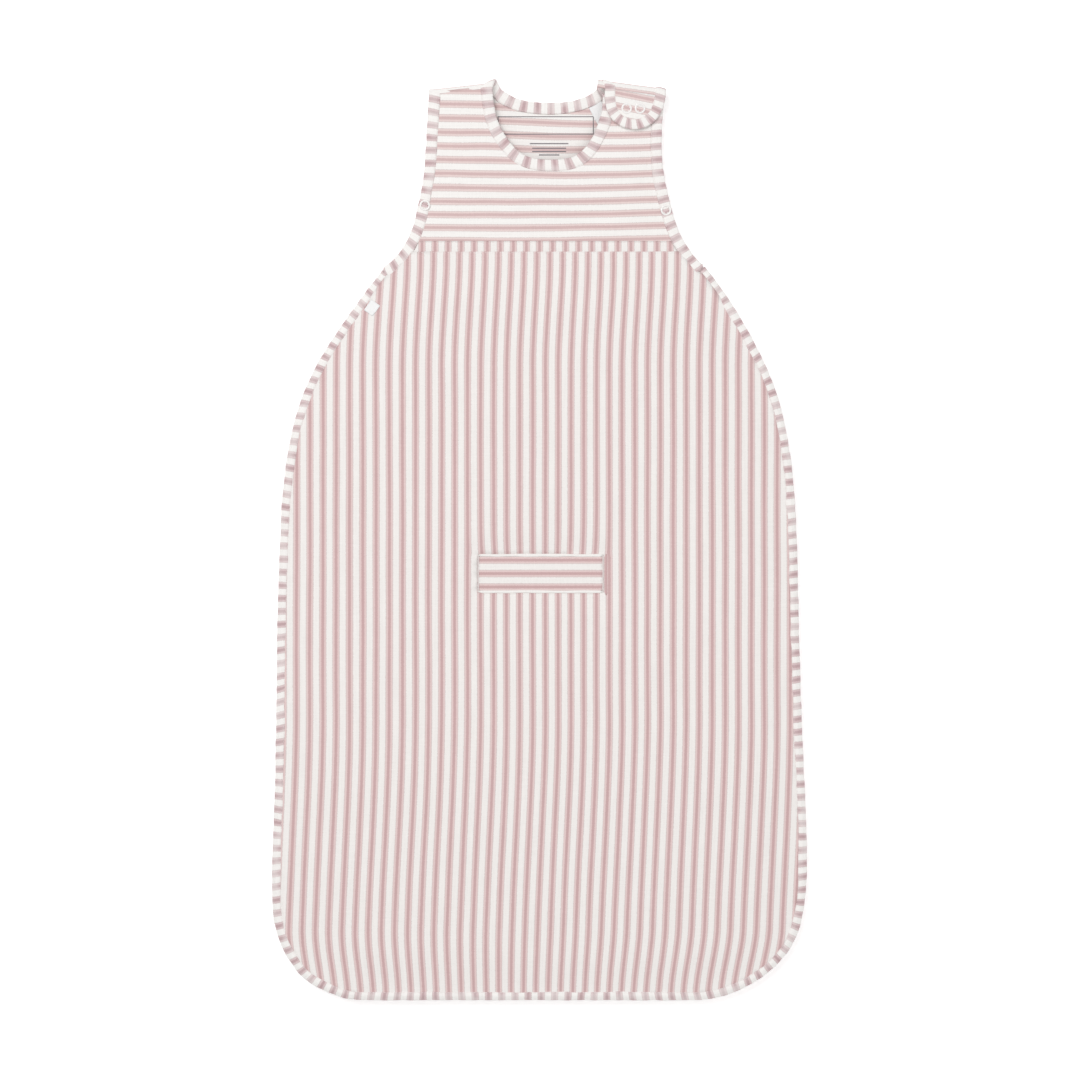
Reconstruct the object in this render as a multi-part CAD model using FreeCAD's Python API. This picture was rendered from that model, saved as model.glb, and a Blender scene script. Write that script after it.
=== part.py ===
"""A baby's sleeping bag with a side-and-foot zip, lying flat on its back.

Frame: +X to the viewer's right, +Y towards the neck, +Z up through the thickness, in millimetres.
The origin is the middle of the footprint, on the underside.
"""

import FreeCAD, Part
import math
import os
from FreeCAD import Vector

# ---------------------------------------------------------------- driving dimensions
LENGTH = 810.0  # foot to shoulder
WIDTH = 470.8  # across the widest part of the skirt
FOOT_Y = -LENGTH / 2
HALF_WIDTH = WIDTH / 2

EDGE_BINDING = 8.0  # widths of the fabric bindings
ARM_BINDING = 10.0
NECK_BINDING = 10.4
TAB_BINDING = 9.6

CLOTH = 1.0  # outer jersey
LINING = 0.8
WADDING = 2.4
SKIRT_GAP = 9.0  # room between the back and the front of the skirt
YOKE_DROP = 3.0  # how far the front lining comes down at the yoke

# heights of the back, from its underside upwards
BACK_CLOTH_Z = 0.0
BACK_WADDING_Z = BACK_CLOTH_Z + CLOTH
BACK_LINING_Z = BACK_WADDING_Z + WADDING
BACK_TOP_Z = BACK_LINING_Z + LINING
# heights of the front, from its lining upwards
FRONT_LINING_Z = BACK_TOP_Z + SKIRT_GAP
FRONT_WADDING_Z = FRONT_LINING_Z + LINING
FRONT_CLOTH_Z = FRONT_WADDING_Z + WADDING
FRONT_TOP_Z = FRONT_CLOTH_Z + CLOTH

# the bindings stand a little proud of the panels that they hold
BINDING_PROUD = 0.4
BACK_BINDING_TOP_Z = BACK_TOP_Z + 0.2
FRONT_BINDING_Z = FRONT_LINING_Z - 0.2
FRONT_BINDING_TOP_Z = FRONT_TOP_Z + BINDING_PROUD

# the quilted skirt thins to the plain yoke over this stretch
RAMP_START_Y = 200.0
YOKE_Y = 252.0
BAND_TOP_Y = 263.5
BAND_THICKNESS = 0.9

# how far each surface has moved by the time it reaches the yoke
BACK_CLOTH_RISE = 1.0
BACK_LINING_FALL = BACK_TOP_Z - (CLOTH + LINING + BACK_CLOTH_RISE)
BACK_BINDING_RISE = 0.9
BACK_BINDING_FALL = 0.5
FRONT_CLOTH_FALL = YOKE_DROP + WADDING
FRONT_BINDING_LOW_FALL = 3.8
FRONT_BINDING_TOP_FALL = 5.0

YOKE_BACK_LOW_Z = BACK_CLOTH_RISE
YOKE_BACK_TOP_Z = YOKE_BACK_LOW_Z + CLOTH + LINING
YOKE_FRONT_LOW_Z = FRONT_LINING_Z - YOKE_DROP
YOKE_FRONT_TOP_Z = YOKE_FRONT_LOW_Z + LINING + CLOTH
ARM_BACK_LOW_Z = BACK_BINDING_RISE
ARM_BACK_TOP_Z = BACK_BINDING_TOP_Z - BACK_BINDING_FALL
ARM_FRONT_LOW_Z = FRONT_BINDING_Z - FRONT_BINDING_LOW_FALL
ARM_FRONT_TOP_Z = FRONT_BINDING_TOP_Z - FRONT_BINDING_TOP_FALL

# ---------------------------------------------------------------- outlines, run with the cloth on the left hand
LEFT_UNDERARM = (-136.5, 241.0)
RIGHT_UNDERARM = (145.6, 241.0)
FOOT_LEFT_X = -148.0
FOOT_RIGHT_X = 135.0

LEFT_SIDE = [
    LEFT_UNDERARM,
    (-171.0, 193.5),
    (-203.0, 140.0),
    (-219.6, 88.0),
    (-228.4, 0.0),
    (-231.2, -110.0),
    (-233.2, -230.0),
    (-HALF_WIDTH, -305.0),
    (-232.0, -342.0),
    (-221.0, -368.5),
    (-205.5, -387.0),
    (-181.0, -400.0),
    (FOOT_LEFT_X, FOOT_Y),
]
RIGHT_SIDE = [
    (FOOT_RIGHT_X, FOOT_Y),
    (164.0, -400.6),
    (192.5, -387.0),
    (213.4, -369.0),
    (225.7, -350.0),
    (232.3, -326.0),
    (HALF_WIDTH, -280.0),
    (233.2, -215.0),
    (228.6, -88.0),
    (226.4, 0.0),
    (218.7, 88.0),
    (204.4, 141.0),
    (183.4, 184.0),
    (160.0, 222.0),
    RIGHT_UNDERARM,
]
RIGHT_ARMHOLE = [
    RIGHT_UNDERARM,
    (132.4, 255.4),
    (122.6, 273.0),
    (114.8, 298.0),
    (110.0, 320.0),
    (107.8, 350.0),
    (108.6, 375.0),
    (112.2, 397.6),
]
LEFT_ARMHOLE = [
    (-96.8, 397.4),
    (-98.6, 375.0),
    (-100.0, 350.0),
    (-102.6, 318.0),
    (-107.0, 295.0),
    (-113.2, 272.0),
    (-122.0, 255.4),
    LEFT_UNDERARM,
]
FRONT_NECK = [
    (55.5, 393.0),
    (53.0, 371.0),
    (48.0, 358.0),
    (41.8, 347.6),
    (34.0, 340.4),
    (24.0, 336.3),
    (11.0, 335.2),
    (-2.5, 336.0),
    (-14.0, 340.0),
    (-24.0, 348.6),
    (-32.0, 360.0),
    (-38.0, 374.0),
    (-40.6, 389.0),
    (-41.8, 403.6),
]
BACK_NECK = [
    (57.8, 405.0),
    (52.4, 399.6),
    (44.0, 393.6),
    (34.0, 389.6),
    (22.0, 387.2),
    (6.0, 386.4),
    (-9.0, 387.6),
    (-20.0, 390.4),
    (-30.0, 395.6),
    (-41.8, 403.6),
]
TAB_EDGE = [
    (57.8, 405.0),
    (57.4, 391.0),
    (58.8, 380.0),
    (62.4, 372.0),
    (69.0, 365.4),
    (77.5, 361.9),
    (86.5, 361.5),
    (94.6, 363.7),
    (101.0, 368.0),
    (105.8, 374.2),
    (109.2, 382.0),
    (112.2, 397.6),
]
ARMHOLE_OVERRUN = 3.5  # the left armhole binding ends in a small fold past the side binding

# ---------------------------------------------------------------- shoulders
LEFT_SHOULDER_R = (YOKE_FRONT_TOP_Z - YOKE_BACK_LOW_Z) / 2
LEFT_SHOULDER_Z = (YOKE_FRONT_TOP_Z + YOKE_BACK_LOW_Z) / 2
TAB_LOW_Z = 14.9
TAB_TOP_Z = TAB_LOW_Z + LINING + CLOTH
TAB_BINDING_Z = 14.3
TAB_BINDING_TOP_Z = 17.3
FOLD_R = (TAB_TOP_Z - YOKE_BACK_LOW_Z) / 2
FOLD_Z = (TAB_TOP_Z + YOKE_BACK_LOW_Z) / 2
STRAP_CLEARANCE = 2.0  # the front strap stops this far short of the fold's axis

# ---------------------------------------------------------------- the corner of the front that the zip frees
FLAP_FOLD_TOP = (-207.0, 130.0)
FLAP_FOLD_FOOT = (107.0, FOOT_Y)
FOLD_SLIT = 0.4

# ---------------------------------------------------------------- harness vent
VENT_X = 1.0
VENT_Y = -29.5
VENT_WIDTH = 110.0
VENT_HEIGHT = 33.0
VENT_RIM = 3.0
VENT_FLAP_GAP = 0.5
VENT_FLAP_THICKNESS = 1.2
BACK_VENT_HEIGHT = 18.0

# ---------------------------------------------------------------- zip, standing on edge between the two bindings
ZIP_TOP_Y = 204.0
CHAIN_IN, CHAIN_OUT = 4.0, 5.8  # distances in from the bag's edge
TAPE_THICKNESS = 0.5
TAPE_REACH = 15.0
CHAIN_BACK_Z = (6.0, 8.0)
CHAIN_FRONT_Z = (9.4, 11.4)
ZIP_MID_Z = (BACK_BINDING_TOP_Z + FRONT_BINDING_Z) / 2
SLIDER_X = 124.5
SLIDER_LENGTH = 11.0
SLIDER_HALF_WIDTH = 3.4
STOP_LENGTH = 3.0
STOP_SHARE = 0.011  # the staple's length, as a share of the left side's curve

# ---------------------------------------------------------------- press studs
RING_R, RING_HOLE_R, RING_T = 4.8, 2.9, 0.8
SOCKET_R, SOCKET_HOLE_R = 4.6, 2.5
STUD_R, STUD_POST_R = 4.4, 2.1
LEFT_SNAP = (-101.0, 294.8)
RIGHT_SNAP = (111.4, 290.5)
TAB_SNAPS = [(76.6, 379.6), (88.4, 379.6)]

# ---------------------------------------------------------------- labels and print
LABEL_T = 0.5
PRINT_T = 0.12
SAMPLES = 48  # points taken along a curve to offset it
FAR = 600.0  # larger than the bag
EPS = 1e-6


# ---------------------------------------------------------------- geometry helpers
def spline(points, start=None, end=None):
    """A smooth curve through the points, with set directions at its ends where they are given."""
    curve = Part.BSplineCurve()
    places = [Vector(x, y, 0) for x, y in points]
    if start is None and end is None:
        curve.interpolate(places)
        return curve
    tangents = [Vector(0, 0, 0)] * len(places)
    flags = [False] * len(places)
    if start is not None:
        tangents[0], flags[0] = start, True
    if end is not None:
        tangents[-1], flags[-1] = end, True
    curve.interpolate(Points=places, Tangents=tangents, TangentFlags=flags)
    return curve


def offset(curve, distance):
    """The same curve moved to its left by distance."""
    if abs(distance) < EPS:
        return curve
    first, last = curve.FirstParameter, curve.LastParameter
    places = []
    for i in range(SAMPLES + 1):
        u = first + (last - first) * i / SAMPLES
        t = curve.tangent(u)[0]
        places.append(curve.value(u) + Vector(-t.y, t.x, 0) * distance)
    moved = Part.BSplineCurve()
    moved.interpolate(places)
    return moved


def part_of(curve, start, end):
    """The stretch of a curve between two shares of its parameter."""
    first, last = curve.FirstParameter, curve.LastParameter
    piece = curve.copy()
    piece.segment(first + (last - first) * start, first + (last - first) * end)
    return piece


def face_of(edges):
    return Part.Face(Part.Wire(Part.__sortEdges__(edges)))


def line(a, b):
    return Part.LineSegment(a, b).toShape()


def strip(chain, near, far):
    """The face between two offsets of a chain of curves."""
    inner = [offset(c, far) for c in chain]
    outer = [offset(c, near) for c in chain]
    edges = [c.toShape() for c in inner + outer]
    edges.append(line(inner[0].StartPoint, outer[0].StartPoint))
    edges.append(line(inner[-1].EndPoint, outer[-1].EndPoint))
    return face_of(edges)


def rectangle(x, y, width, height):
    """A face centred on x, y."""
    return Part.makePlane(width, height, Vector(x - width / 2, y - height / 2, 0))


def raise_up(face, low, high):
    """A straight prism on a face."""
    moved = face.copy()
    moved.translate(Vector(0, 0, low))
    return moved.extrude(Vector(0, 0, high - low))


def tall(face):
    return raise_up(face, -20.0, 40.0)


def profile_edges(z, change):
    """A surface's line seen from the side: level, a smooth ramp to the yoke, then level again."""
    foot, top = Vector(0, -FAR, z), Vector(0, FAR, z + change)
    start, end = Vector(0, RAMP_START_Y, z), Vector(0, YOKE_Y, z + change)
    if abs(change) < EPS:
        return [line(foot, top)]
    ramp = Part.BSplineCurve()
    ramp.interpolate(Points=[start, end], InitialTangent=Vector(0, 1, 0), FinalTangent=Vector(0, 1, 0))
    return [line(foot, start), ramp.toShape(), line(end, top)]


def slab(low, high, low_change=0.0, high_change=0.0):
    """A sheet of cloth as large as the table, between two heights that change on the way to the yoke."""
    lower, upper = profile_edges(low, low_change), profile_edges(high, high_change)
    low_end, high_end = Vector(0, FAR, low + low_change), Vector(0, FAR, high + high_change)
    if high_end.z - low_end.z < EPS:  # it thins to nothing at the yoke
        edges = lower[:-1] + upper[:-1]
    else:
        edges = lower + upper + [line(low_end, high_end)]
    edges.append(line(Vector(0, -FAR, low), Vector(0, -FAR, high)))
    sheet = face_of(edges)
    sheet.translate(Vector(-FAR, 0, 0))
    return sheet.extrude(Vector(2 * FAR, 0, 0))


def layer(region, low, high, low_change=0.0, high_change=0.0):
    """The part of a sheet that lies over a region."""
    return slab(low, high, low_change, high_change).common(tall(region))


def half_plane(a, b, gap=0.0):
    """A tall block on the left of the line from a to b, standing off it by gap."""
    start, end = Vector(a[0], a[1], 0), Vector(b[0], b[1], 0)
    along = (end - start).normalize()
    side = Vector(-along.y, along.x, 0)
    p, q = start - along * FAR + side * gap, end + along * FAR + side * gap
    corners = [p, q, q + side * FAR, p + side * FAR]
    return tall(Part.Face(Part.makePolygon(corners + [p])))


def joined(*shapes):
    whole = shapes[0]
    for shape in shapes[1:]:
        whole = whole.fuse(shape)
    return whole.removeSplitter()


def half_tube(axis_start, axis_end, z, outer_r, inner_r):
    """A cloth fold: half of a tube, on the left of its axis."""
    start, end = Vector(axis_start[0], axis_start[1], z), Vector(axis_end[0], axis_end[1], z)
    along = end - start
    tube = Part.makeCylinder(outer_r, along.Length, start, along)
    tube = tube.cut(Part.makeCylinder(inner_r, along.Length, start, along))
    return tube.common(half_plane(axis_start, axis_end))


def on_line(a, b, x):
    """The point at x on the line through a and b."""
    share = (x - a[0]) / (b[0] - a[0])
    return (x, a[1] + (b[1] - a[1]) * share)


def shifted(a, b, distance):
    """The line from a to b moved to its left by distance."""
    length = math.hypot(b[0] - a[0], b[1] - a[1])
    dx, dy = -(b[1] - a[1]) / length * distance, (b[0] - a[0]) / length * distance
    return (a[0] + dx, a[1] + dy), (b[0] + dx, b[1] + dy)


# ---------------------------------------------------------------- curves and regions
EAST = Vector(1, 0, 0)
left_side = spline(LEFT_SIDE, end=EAST)
right_side = spline(RIGHT_SIDE, start=EAST)
foot = Part.LineSegment(Vector(FOOT_LEFT_X, FOOT_Y, 0), Vector(FOOT_RIGHT_X, FOOT_Y, 0)).toBSpline()
right_armhole = spline(RIGHT_ARMHOLE)
left_armhole = spline(LEFT_ARMHOLE)
front_neck = spline(FRONT_NECK)
back_neck = spline(BACK_NECK)
tab_edge = spline(TAB_EDGE)
skirt_edge = [left_side, foot, right_side]

left_top = (LEFT_ARMHOLE[0], FRONT_NECK[-1])
right_top = (TAB_EDGE[0], TAB_EDGE[-1])
left_axis = shifted(*left_top, -LEFT_SHOULDER_R)
right_axis = shifted(*right_top, -FOLD_R)
above_left = half_plane(*left_axis)
above_right = half_plane(*right_axis)


def outline(neck):
    """The whole outline of the front or the back, with that neck curve."""
    curves = skirt_edge + [right_armhole, neck, left_armhole]
    edges = [c.toShape() for c in curves]
    edges.append(line(right_armhole.EndPoint, neck.StartPoint))
    edges.append(line(neck.EndPoint, left_armhole.StartPoint))
    return face_of(edges)


def keep_below(shape, cutter, left):
    """Cuts a shape off at a shoulder's axis, on that shoulder's side only."""
    side = Part.makeBox(FAR, 2 * FAR, 80, Vector(-FAR if left else 0, -FAR, -40))
    return shape.cut(cutter.common(side))


def below_shoulders(shape, strap_gap=0.0):
    shape = keep_below(shape, above_left, True)
    return keep_below(shape, half_plane(*right_axis, -strap_gap), False)


def overrun(curve, distance):
    """A straight continuation of a curve, past its end."""
    end = curve.EndPoint
    along = curve.tangent(curve.LastParameter)[0]
    return Part.LineSegment(end, end + along * distance).toBSpline()


left_armhole_chain = [left_armhole, overrun(left_armhole, ARMHOLE_OVERRUN)]
OUTSIDE = -6.0  # cutting tools reach this far past the cloth's edge
arm_tools = [
    tall(strip(left_armhole_chain, OUTSIDE, ARM_BINDING)),
    tall(strip([right_armhole], OUTSIDE, ARM_BINDING)),
]
edge_tool = tall(strip(skirt_edge, OUTSIDE, EDGE_BINDING))
front_neck_tool = tall(strip([front_neck], OUTSIDE, NECK_BINDING))
back_neck_tool = tall(strip([back_neck], OUTSIDE, NECK_BINDING))


def panel(region, neck_tool, strap_gap=0.0):
    """A tall prism of the cloth inside the bindings."""
    solid = tall(region)
    for tool in arm_tools + [edge_tool, neck_tool]:
        solid = solid.cut(tool)
    return below_shoulders(solid, strap_gap)


front_panel = panel(outline(front_neck), front_neck_tool, STRAP_CLEARANCE)
back_panel = panel(outline(back_neck), back_neck_tool)

yoke_zone = tall(rectangle(0, (YOKE_Y + FAR) / 2, 2 * FAR, FAR - YOKE_Y))
skirt_zone = tall(rectangle(0, (YOKE_Y - FAR) / 2, 2 * FAR, FAR + YOKE_Y))
band_zone = tall(rectangle(0, (YOKE_Y + BAND_TOP_Y) / 2, 2 * FAR, BAND_TOP_Y - YOKE_Y))
flap_zone = half_plane(FLAP_FOLD_FOOT, FLAP_FOLD_TOP, FOLD_SLIT / 2)
fixed_zone = half_plane(FLAP_FOLD_TOP, FLAP_FOLD_FOOT, FOLD_SLIT / 2)
vent_window = tall(rectangle(VENT_X, VENT_Y, VENT_WIDTH, VENT_HEIGHT))
back_vent_window = tall(rectangle(VENT_X, VENT_Y, VENT_WIDTH, BACK_VENT_HEIGHT))
wadding_zone = tall(rectangle(0, (YOKE_Y - FAR) / 2 - 10, 2 * FAR, FAR + YOKE_Y))

parts = {}


# ---------------------------------------------------------------- back
def make_back():
    skirt = back_panel.common(skirt_zone).cut(back_vent_window)
    cloth_top_rise = BACK_CLOTH_RISE
    lining_low_fall = BACK_LINING_Z - (YOKE_BACK_LOW_Z + CLOTH)
    parts["back_skirt_outer"] = slab(BACK_CLOTH_Z, BACK_WADDING_Z, BACK_CLOTH_RISE, cloth_top_rise).common(skirt)
    parts["back_skirt_padding"] = slab(
        BACK_WADDING_Z, BACK_LINING_Z, cloth_top_rise, -lining_low_fall
    ).common(skirt).common(wadding_zone)
    parts["back_skirt_lining"] = slab(
        BACK_LINING_Z, BACK_TOP_Z, -lining_low_fall, -BACK_LINING_FALL
    ).common(skirt)
    yoke = back_panel.common(yoke_zone)
    cloth = raise_up(rectangle(0, 0, FAR, 2 * FAR), YOKE_BACK_LOW_Z, YOKE_BACK_LOW_Z + CLOTH)
    facing = raise_up(rectangle(0, 0, FAR, 2 * FAR), YOKE_BACK_LOW_Z + CLOTH, YOKE_BACK_TOP_Z)
    parts["back_yoke_outer"] = yoke.common(cloth)
    parts["back_yoke_lining"] = yoke.common(facing)
    band = raise_up(rectangle(0, 0, FAR, 2 * FAR), YOKE_BACK_LOW_Z - BAND_THICKNESS, YOKE_BACK_LOW_Z)
    parts["back_seam_band"] = back_panel.common(band_zone).common(band)


# ---------------------------------------------------------------- front
def in_pieces(shape):
    """The shape as five solids edge to edge: four round the harness vent's window, and the slope to the yoke."""
    left, right = VENT_X - VENT_WIDTH / 2, VENT_X + VENT_WIDTH / 2
    foot, head = RAMP_START_Y - 2 * FAR, RAMP_START_Y
    window_foot, window_head = VENT_Y - VENT_HEIGHT / 2, VENT_Y + VENT_HEIGHT / 2
    spans = [
        (-FAR, left, foot, head),
        (right, FAR, foot, head),
        (left, right, window_head, head),
        (left, right, foot, window_foot),
        (-FAR, FAR, head, head + FAR),
    ]
    solids = []
    for x0, x1, y0, y1 in spans:
        zone = rectangle((x0 + x1) / 2, (y0 + y1) / 2, x1 - x0, y1 - y0)
        solids += shape.common(tall(zone)).Solids
    return Part.makeCompound(solids)


def make_front():
    skirt = front_panel.common(skirt_zone).cut(vent_window)
    layers = {
        "outer": slab(FRONT_CLOTH_Z, FRONT_TOP_Z, -FRONT_CLOTH_FALL, -FRONT_CLOTH_FALL),
        "padding": slab(FRONT_WADDING_Z, FRONT_CLOTH_Z, -YOKE_DROP, -FRONT_CLOTH_FALL).common(wadding_zone),
        "lining": slab(FRONT_LINING_Z, FRONT_WADDING_Z, -YOKE_DROP, -YOKE_DROP),
    }
    for name, sheet in layers.items():
        parts["front_skirt_" + name] = in_pieces(sheet.common(skirt).common(fixed_zone))
        parts["front_flap_" + name] = sheet.common(skirt).common(flap_zone)
    yoke = front_panel.common(yoke_zone)
    lining = raise_up(rectangle(0, 0, FAR, 2 * FAR), YOKE_FRONT_LOW_Z, YOKE_FRONT_LOW_Z + LINING)
    cloth = raise_up(rectangle(0, 0, FAR, 2 * FAR), YOKE_FRONT_LOW_Z + LINING, YOKE_FRONT_TOP_Z)
    parts["front_yoke_lining"] = yoke.common(lining)
    parts["front_yoke_outer"] = yoke.common(cloth)
    band = raise_up(rectangle(0, 0, FAR, 2 * FAR), YOKE_FRONT_TOP_Z, YOKE_FRONT_TOP_Z + BAND_THICKNESS)
    parts["front_seam_band"] = front_panel.common(band_zone).common(band)


# ---------------------------------------------------------------- bindings
def back_binding(region):
    return layer(region, BACK_CLOTH_Z, BACK_BINDING_TOP_Z, BACK_BINDING_RISE, -BACK_BINDING_FALL)


def front_binding(region):
    return layer(
        region, FRONT_BINDING_Z, FRONT_BINDING_TOP_Z, -FRONT_BINDING_LOW_FALL, -FRONT_BINDING_TOP_FALL
    )


def binding_turn(from_x, to_x):
    """The piece of a binding that goes over the left shoulder, from the front to the back."""
    outer_r = (ARM_FRONT_TOP_Z - ARM_BACK_LOW_Z) / 2
    z = (ARM_FRONT_TOP_Z + ARM_BACK_LOW_Z) / 2
    return half_tube(on_line(*left_axis, from_x), on_line(*left_axis, to_x), z, outer_r, outer_r - 3.0)


def make_bindings():
    edge = strip(skirt_edge, 0.0, EDGE_BINDING)
    arms = joined(*arm_tools)
    parts["back_edge_binding"] = back_binding(edge).cut(arms)
    front_edge = front_binding(edge).cut(arms)
    parts["front_edge_binding"] = front_edge.common(fixed_zone)
    parts["front_flap_binding"] = front_edge.common(flap_zone)

    arm = strip(left_armhole_chain, 0.0, ARM_BINDING)
    parts["left_armhole_binding"] = joined(
        keep_below(front_binding(arm), above_left, True),
        keep_below(back_binding(arm), above_left, True),
        binding_turn(LEFT_ARMHOLE[0][0], LEFT_ARMHOLE[0][0] + ARM_BINDING),
    )
    arm = strip([right_armhole], 0.0, ARM_BINDING)
    parts["right_armhole_binding_front"] = below_shoulders(front_binding(arm), STRAP_CLEARANCE)
    parts["right_armhole_binding_back"] = below_shoulders(back_binding(arm))

    front = below_shoulders(front_binding(strip([front_neck], 0.0, NECK_BINDING)), STRAP_CLEARANCE)
    back = below_shoulders(back_binding(strip([back_neck], 0.0, NECK_BINDING)))
    turn = binding_turn(FRONT_NECK[-1][0] - NECK_BINDING, FRONT_NECK[-1][0])
    parts["neck_binding"] = joined(front, back, turn)


# ---------------------------------------------------------------- shoulders and seams
def make_shoulders():
    inner_r = LEFT_SHOULDER_R - CLOTH - LINING
    start = on_line(*left_axis, LEFT_ARMHOLE[0][0] + ARM_BINDING)
    end = on_line(*left_axis, FRONT_NECK[-1][0] - NECK_BINDING)
    parts["left_shoulder_seam"] = half_tube(start, end, LEFT_SHOULDER_Z, LEFT_SHOULDER_R, inner_r)
    start = on_line(*right_axis, right_axis[0][0])
    end = on_line(*right_axis, right_axis[1][0])
    parts["shoulder_fold"] = half_tube(start, end, FOLD_Z, FOLD_R, FOLD_R - CLOTH - LINING)


def make_tab():
    """The rounded end of the back strap, folded over the front strap and held by two press studs."""
    corners = [tab_edge.toShape(), line(tab_edge.EndPoint, tab_edge.StartPoint)]
    whole = below_shoulders(tall(face_of(corners)))
    cloth = whole.cut(tall(strip([tab_edge], OUTSIDE, TAB_BINDING)))
    table = rectangle(0, 0, FAR, 2 * FAR)
    parts["tab_lining"] = cloth.common(raise_up(table, TAB_LOW_Z, TAB_LOW_Z + LINING))
    parts["tab_outer"] = cloth.common(raise_up(table, TAB_LOW_Z + LINING, TAB_TOP_Z))
    binding = raise_up(strip([tab_edge], 0.0, TAB_BINDING), TAB_BINDING_Z, TAB_BINDING_TOP_Z)
    parts["tab_binding"] = below_shoulders(binding)


def seam_wall(chain, low, high):
    """The stitched edge that closes the gap between the back and front bindings."""
    return layer(strip(chain, 3.0, 5.0), low, high, -BACK_BINDING_FALL, -FRONT_BINDING_LOW_FALL)


def zip_start_share():
    """Where on the left side's curve the zip's top end lies."""
    low, high = 0.0, 0.5
    span = left_side.LastParameter - left_side.FirstParameter
    for _ in range(40):
        middle = (low + high) / 2
        if left_side.value(left_side.FirstParameter + span * middle).y > ZIP_TOP_Y:
            low = middle
        else:
            high = middle
    return low


def make_seams():
    low, high = BACK_BINDING_TOP_Z, FRONT_BINDING_Z
    arms = joined(*arm_tools)
    stop = tall(rectangle(FOOT_RIGHT_X, FOOT_Y, 2 * STOP_LENGTH + 0.6, 40.0))
    parts["right_side_seam"] = seam_wall([right_side], low, high).cut(arms).cut(stop)
    upper = part_of(left_side, 0.0, zip_start_share() - STOP_SHARE - 0.002)
    parts["left_underarm_seam"] = seam_wall([upper], low, high).cut(arms)


# ---------------------------------------------------------------- zip
def zip_chain_of_curves():
    return [part_of(left_side, zip_start_share(), 1.0), foot]


def make_zip():
    run = zip_chain_of_curves()
    upright = strip(run, CHAIN_OUT, CHAIN_OUT + TAPE_THICKNESS)
    flange = strip(run, CHAIN_OUT, TAPE_REACH)
    teeth = strip(run, CHAIN_IN, CHAIN_OUT)
    low, high = BACK_BINDING_TOP_Z, FRONT_BINDING_Z
    back_tape = joined(
        raise_up(upright, low, CHAIN_BACK_Z[1]), raise_up(flange, low, low + TAPE_THICKNESS)
    )
    front_tape = joined(
        raise_up(upright, CHAIN_FRONT_Z[0], high), raise_up(flange, high - TAPE_THICKNESS, high)
    )
    parts["zip_tape_back"] = back_tape
    parts["zip_chain_back"] = raise_up(teeth, *CHAIN_BACK_Z)
    front_chain = raise_up(teeth, *CHAIN_FRONT_Z)
    parts["zip_tape_front"] = front_tape.common(fixed_zone)
    parts["zip_tape_flap"] = front_tape.common(flap_zone)
    parts["zip_chain_front"] = front_chain.common(fixed_zone)
    parts["zip_chain_flap"] = front_chain.common(flap_zone)


def make_zip_stops():
    """A staple joins both rows under the arm, and a clip on each row ends them at the foot."""
    start = part_of(left_side, zip_start_share() - STOP_SHARE, zip_start_share() - 0.001)
    staple = strip([start], CHAIN_IN - 0.2, CHAIN_OUT + 0.2)
    parts["zip_underarm_stop"] = raise_up(staple, CHAIN_BACK_Z[0], CHAIN_FRONT_Z[1])
    y = FOOT_Y + (CHAIN_IN + CHAIN_OUT) / 2
    clip = rectangle(FOOT_RIGHT_X + STOP_LENGTH / 2 + 0.1, y, STOP_LENGTH, CHAIN_OUT - CHAIN_IN + 0.4)
    parts["zip_foot_stops"] = Part.makeCompound([raise_up(clip, *CHAIN_BACK_Z), raise_up(clip, *CHAIN_FRONT_Z)])


def slider_plate(y_low, y_high):
    """One of the slider's two shields, rounded at its nose."""
    half = SLIDER_HALF_WIDTH
    nose = half * 0.55
    x0, x1 = SLIDER_X - SLIDER_LENGTH / 2, SLIDER_X + SLIDER_LENGTH / 2
    z0, z1 = ZIP_MID_Z - half, ZIP_MID_Z + half
    places = [
        Vector(x0, 0, ZIP_MID_Z - nose),
        Vector(x0, 0, ZIP_MID_Z + nose),
        Vector(x0 + 3, 0, z1),
        Vector(x1, 0, z1),
        Vector(x1, 0, z0),
        Vector(x0 + 3, 0, z0),
    ]
    shield = Part.Face(Part.makePolygon(places + [places[0]]))
    shield.translate(Vector(0, FOOT_Y + y_low, 0))
    return shield.extrude(Vector(0, y_high - y_low, 0))


PULL_PIN_Y = FOOT_Y + 1.25
PULL_PIN_X = SLIDER_X - 1.0
PULL_PIN_R = 0.65
PULL_EYE_R = 1.2
PULL_BORE_R = 0.75
BAIL_HEIGHT = 5.4
SHIELD_OUTER, SHIELD_INNER = (2.8, 3.6), (6.6, 7.6)


def make_slider():
    outer, inner = SHIELD_OUTER, SHIELD_INNER
    slider = joined(slider_plate(*outer), slider_plate(*inner))
    post = Part.makeBox(
        2.4, inner[0] - outer[1], 0.8, Vector(SLIDER_X - 4.6, FOOT_Y + outer[1], ZIP_MID_Z - 0.4)
    )
    pin = Part.makeCylinder(
        PULL_PIN_R, BAIL_HEIGHT, Vector(PULL_PIN_X, PULL_PIN_Y, ZIP_MID_Z - BAIL_HEIGHT / 2), Vector(0, 0, 1)
    )
    slider = joined(slider, post, pin)
    for z in (ZIP_MID_Z - BAIL_HEIGHT / 2, ZIP_MID_Z + BAIL_HEIGHT / 2 - 0.9):
        leg = Part.makeBox(
            2.0, outer[0] + FOOT_Y - PULL_PIN_Y + 0.6, 0.9, Vector(PULL_PIN_X - 1.0, PULL_PIN_Y - 0.6, z)
        )
        slider = joined(slider, leg)
    parts["zip_slider"] = slider


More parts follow.
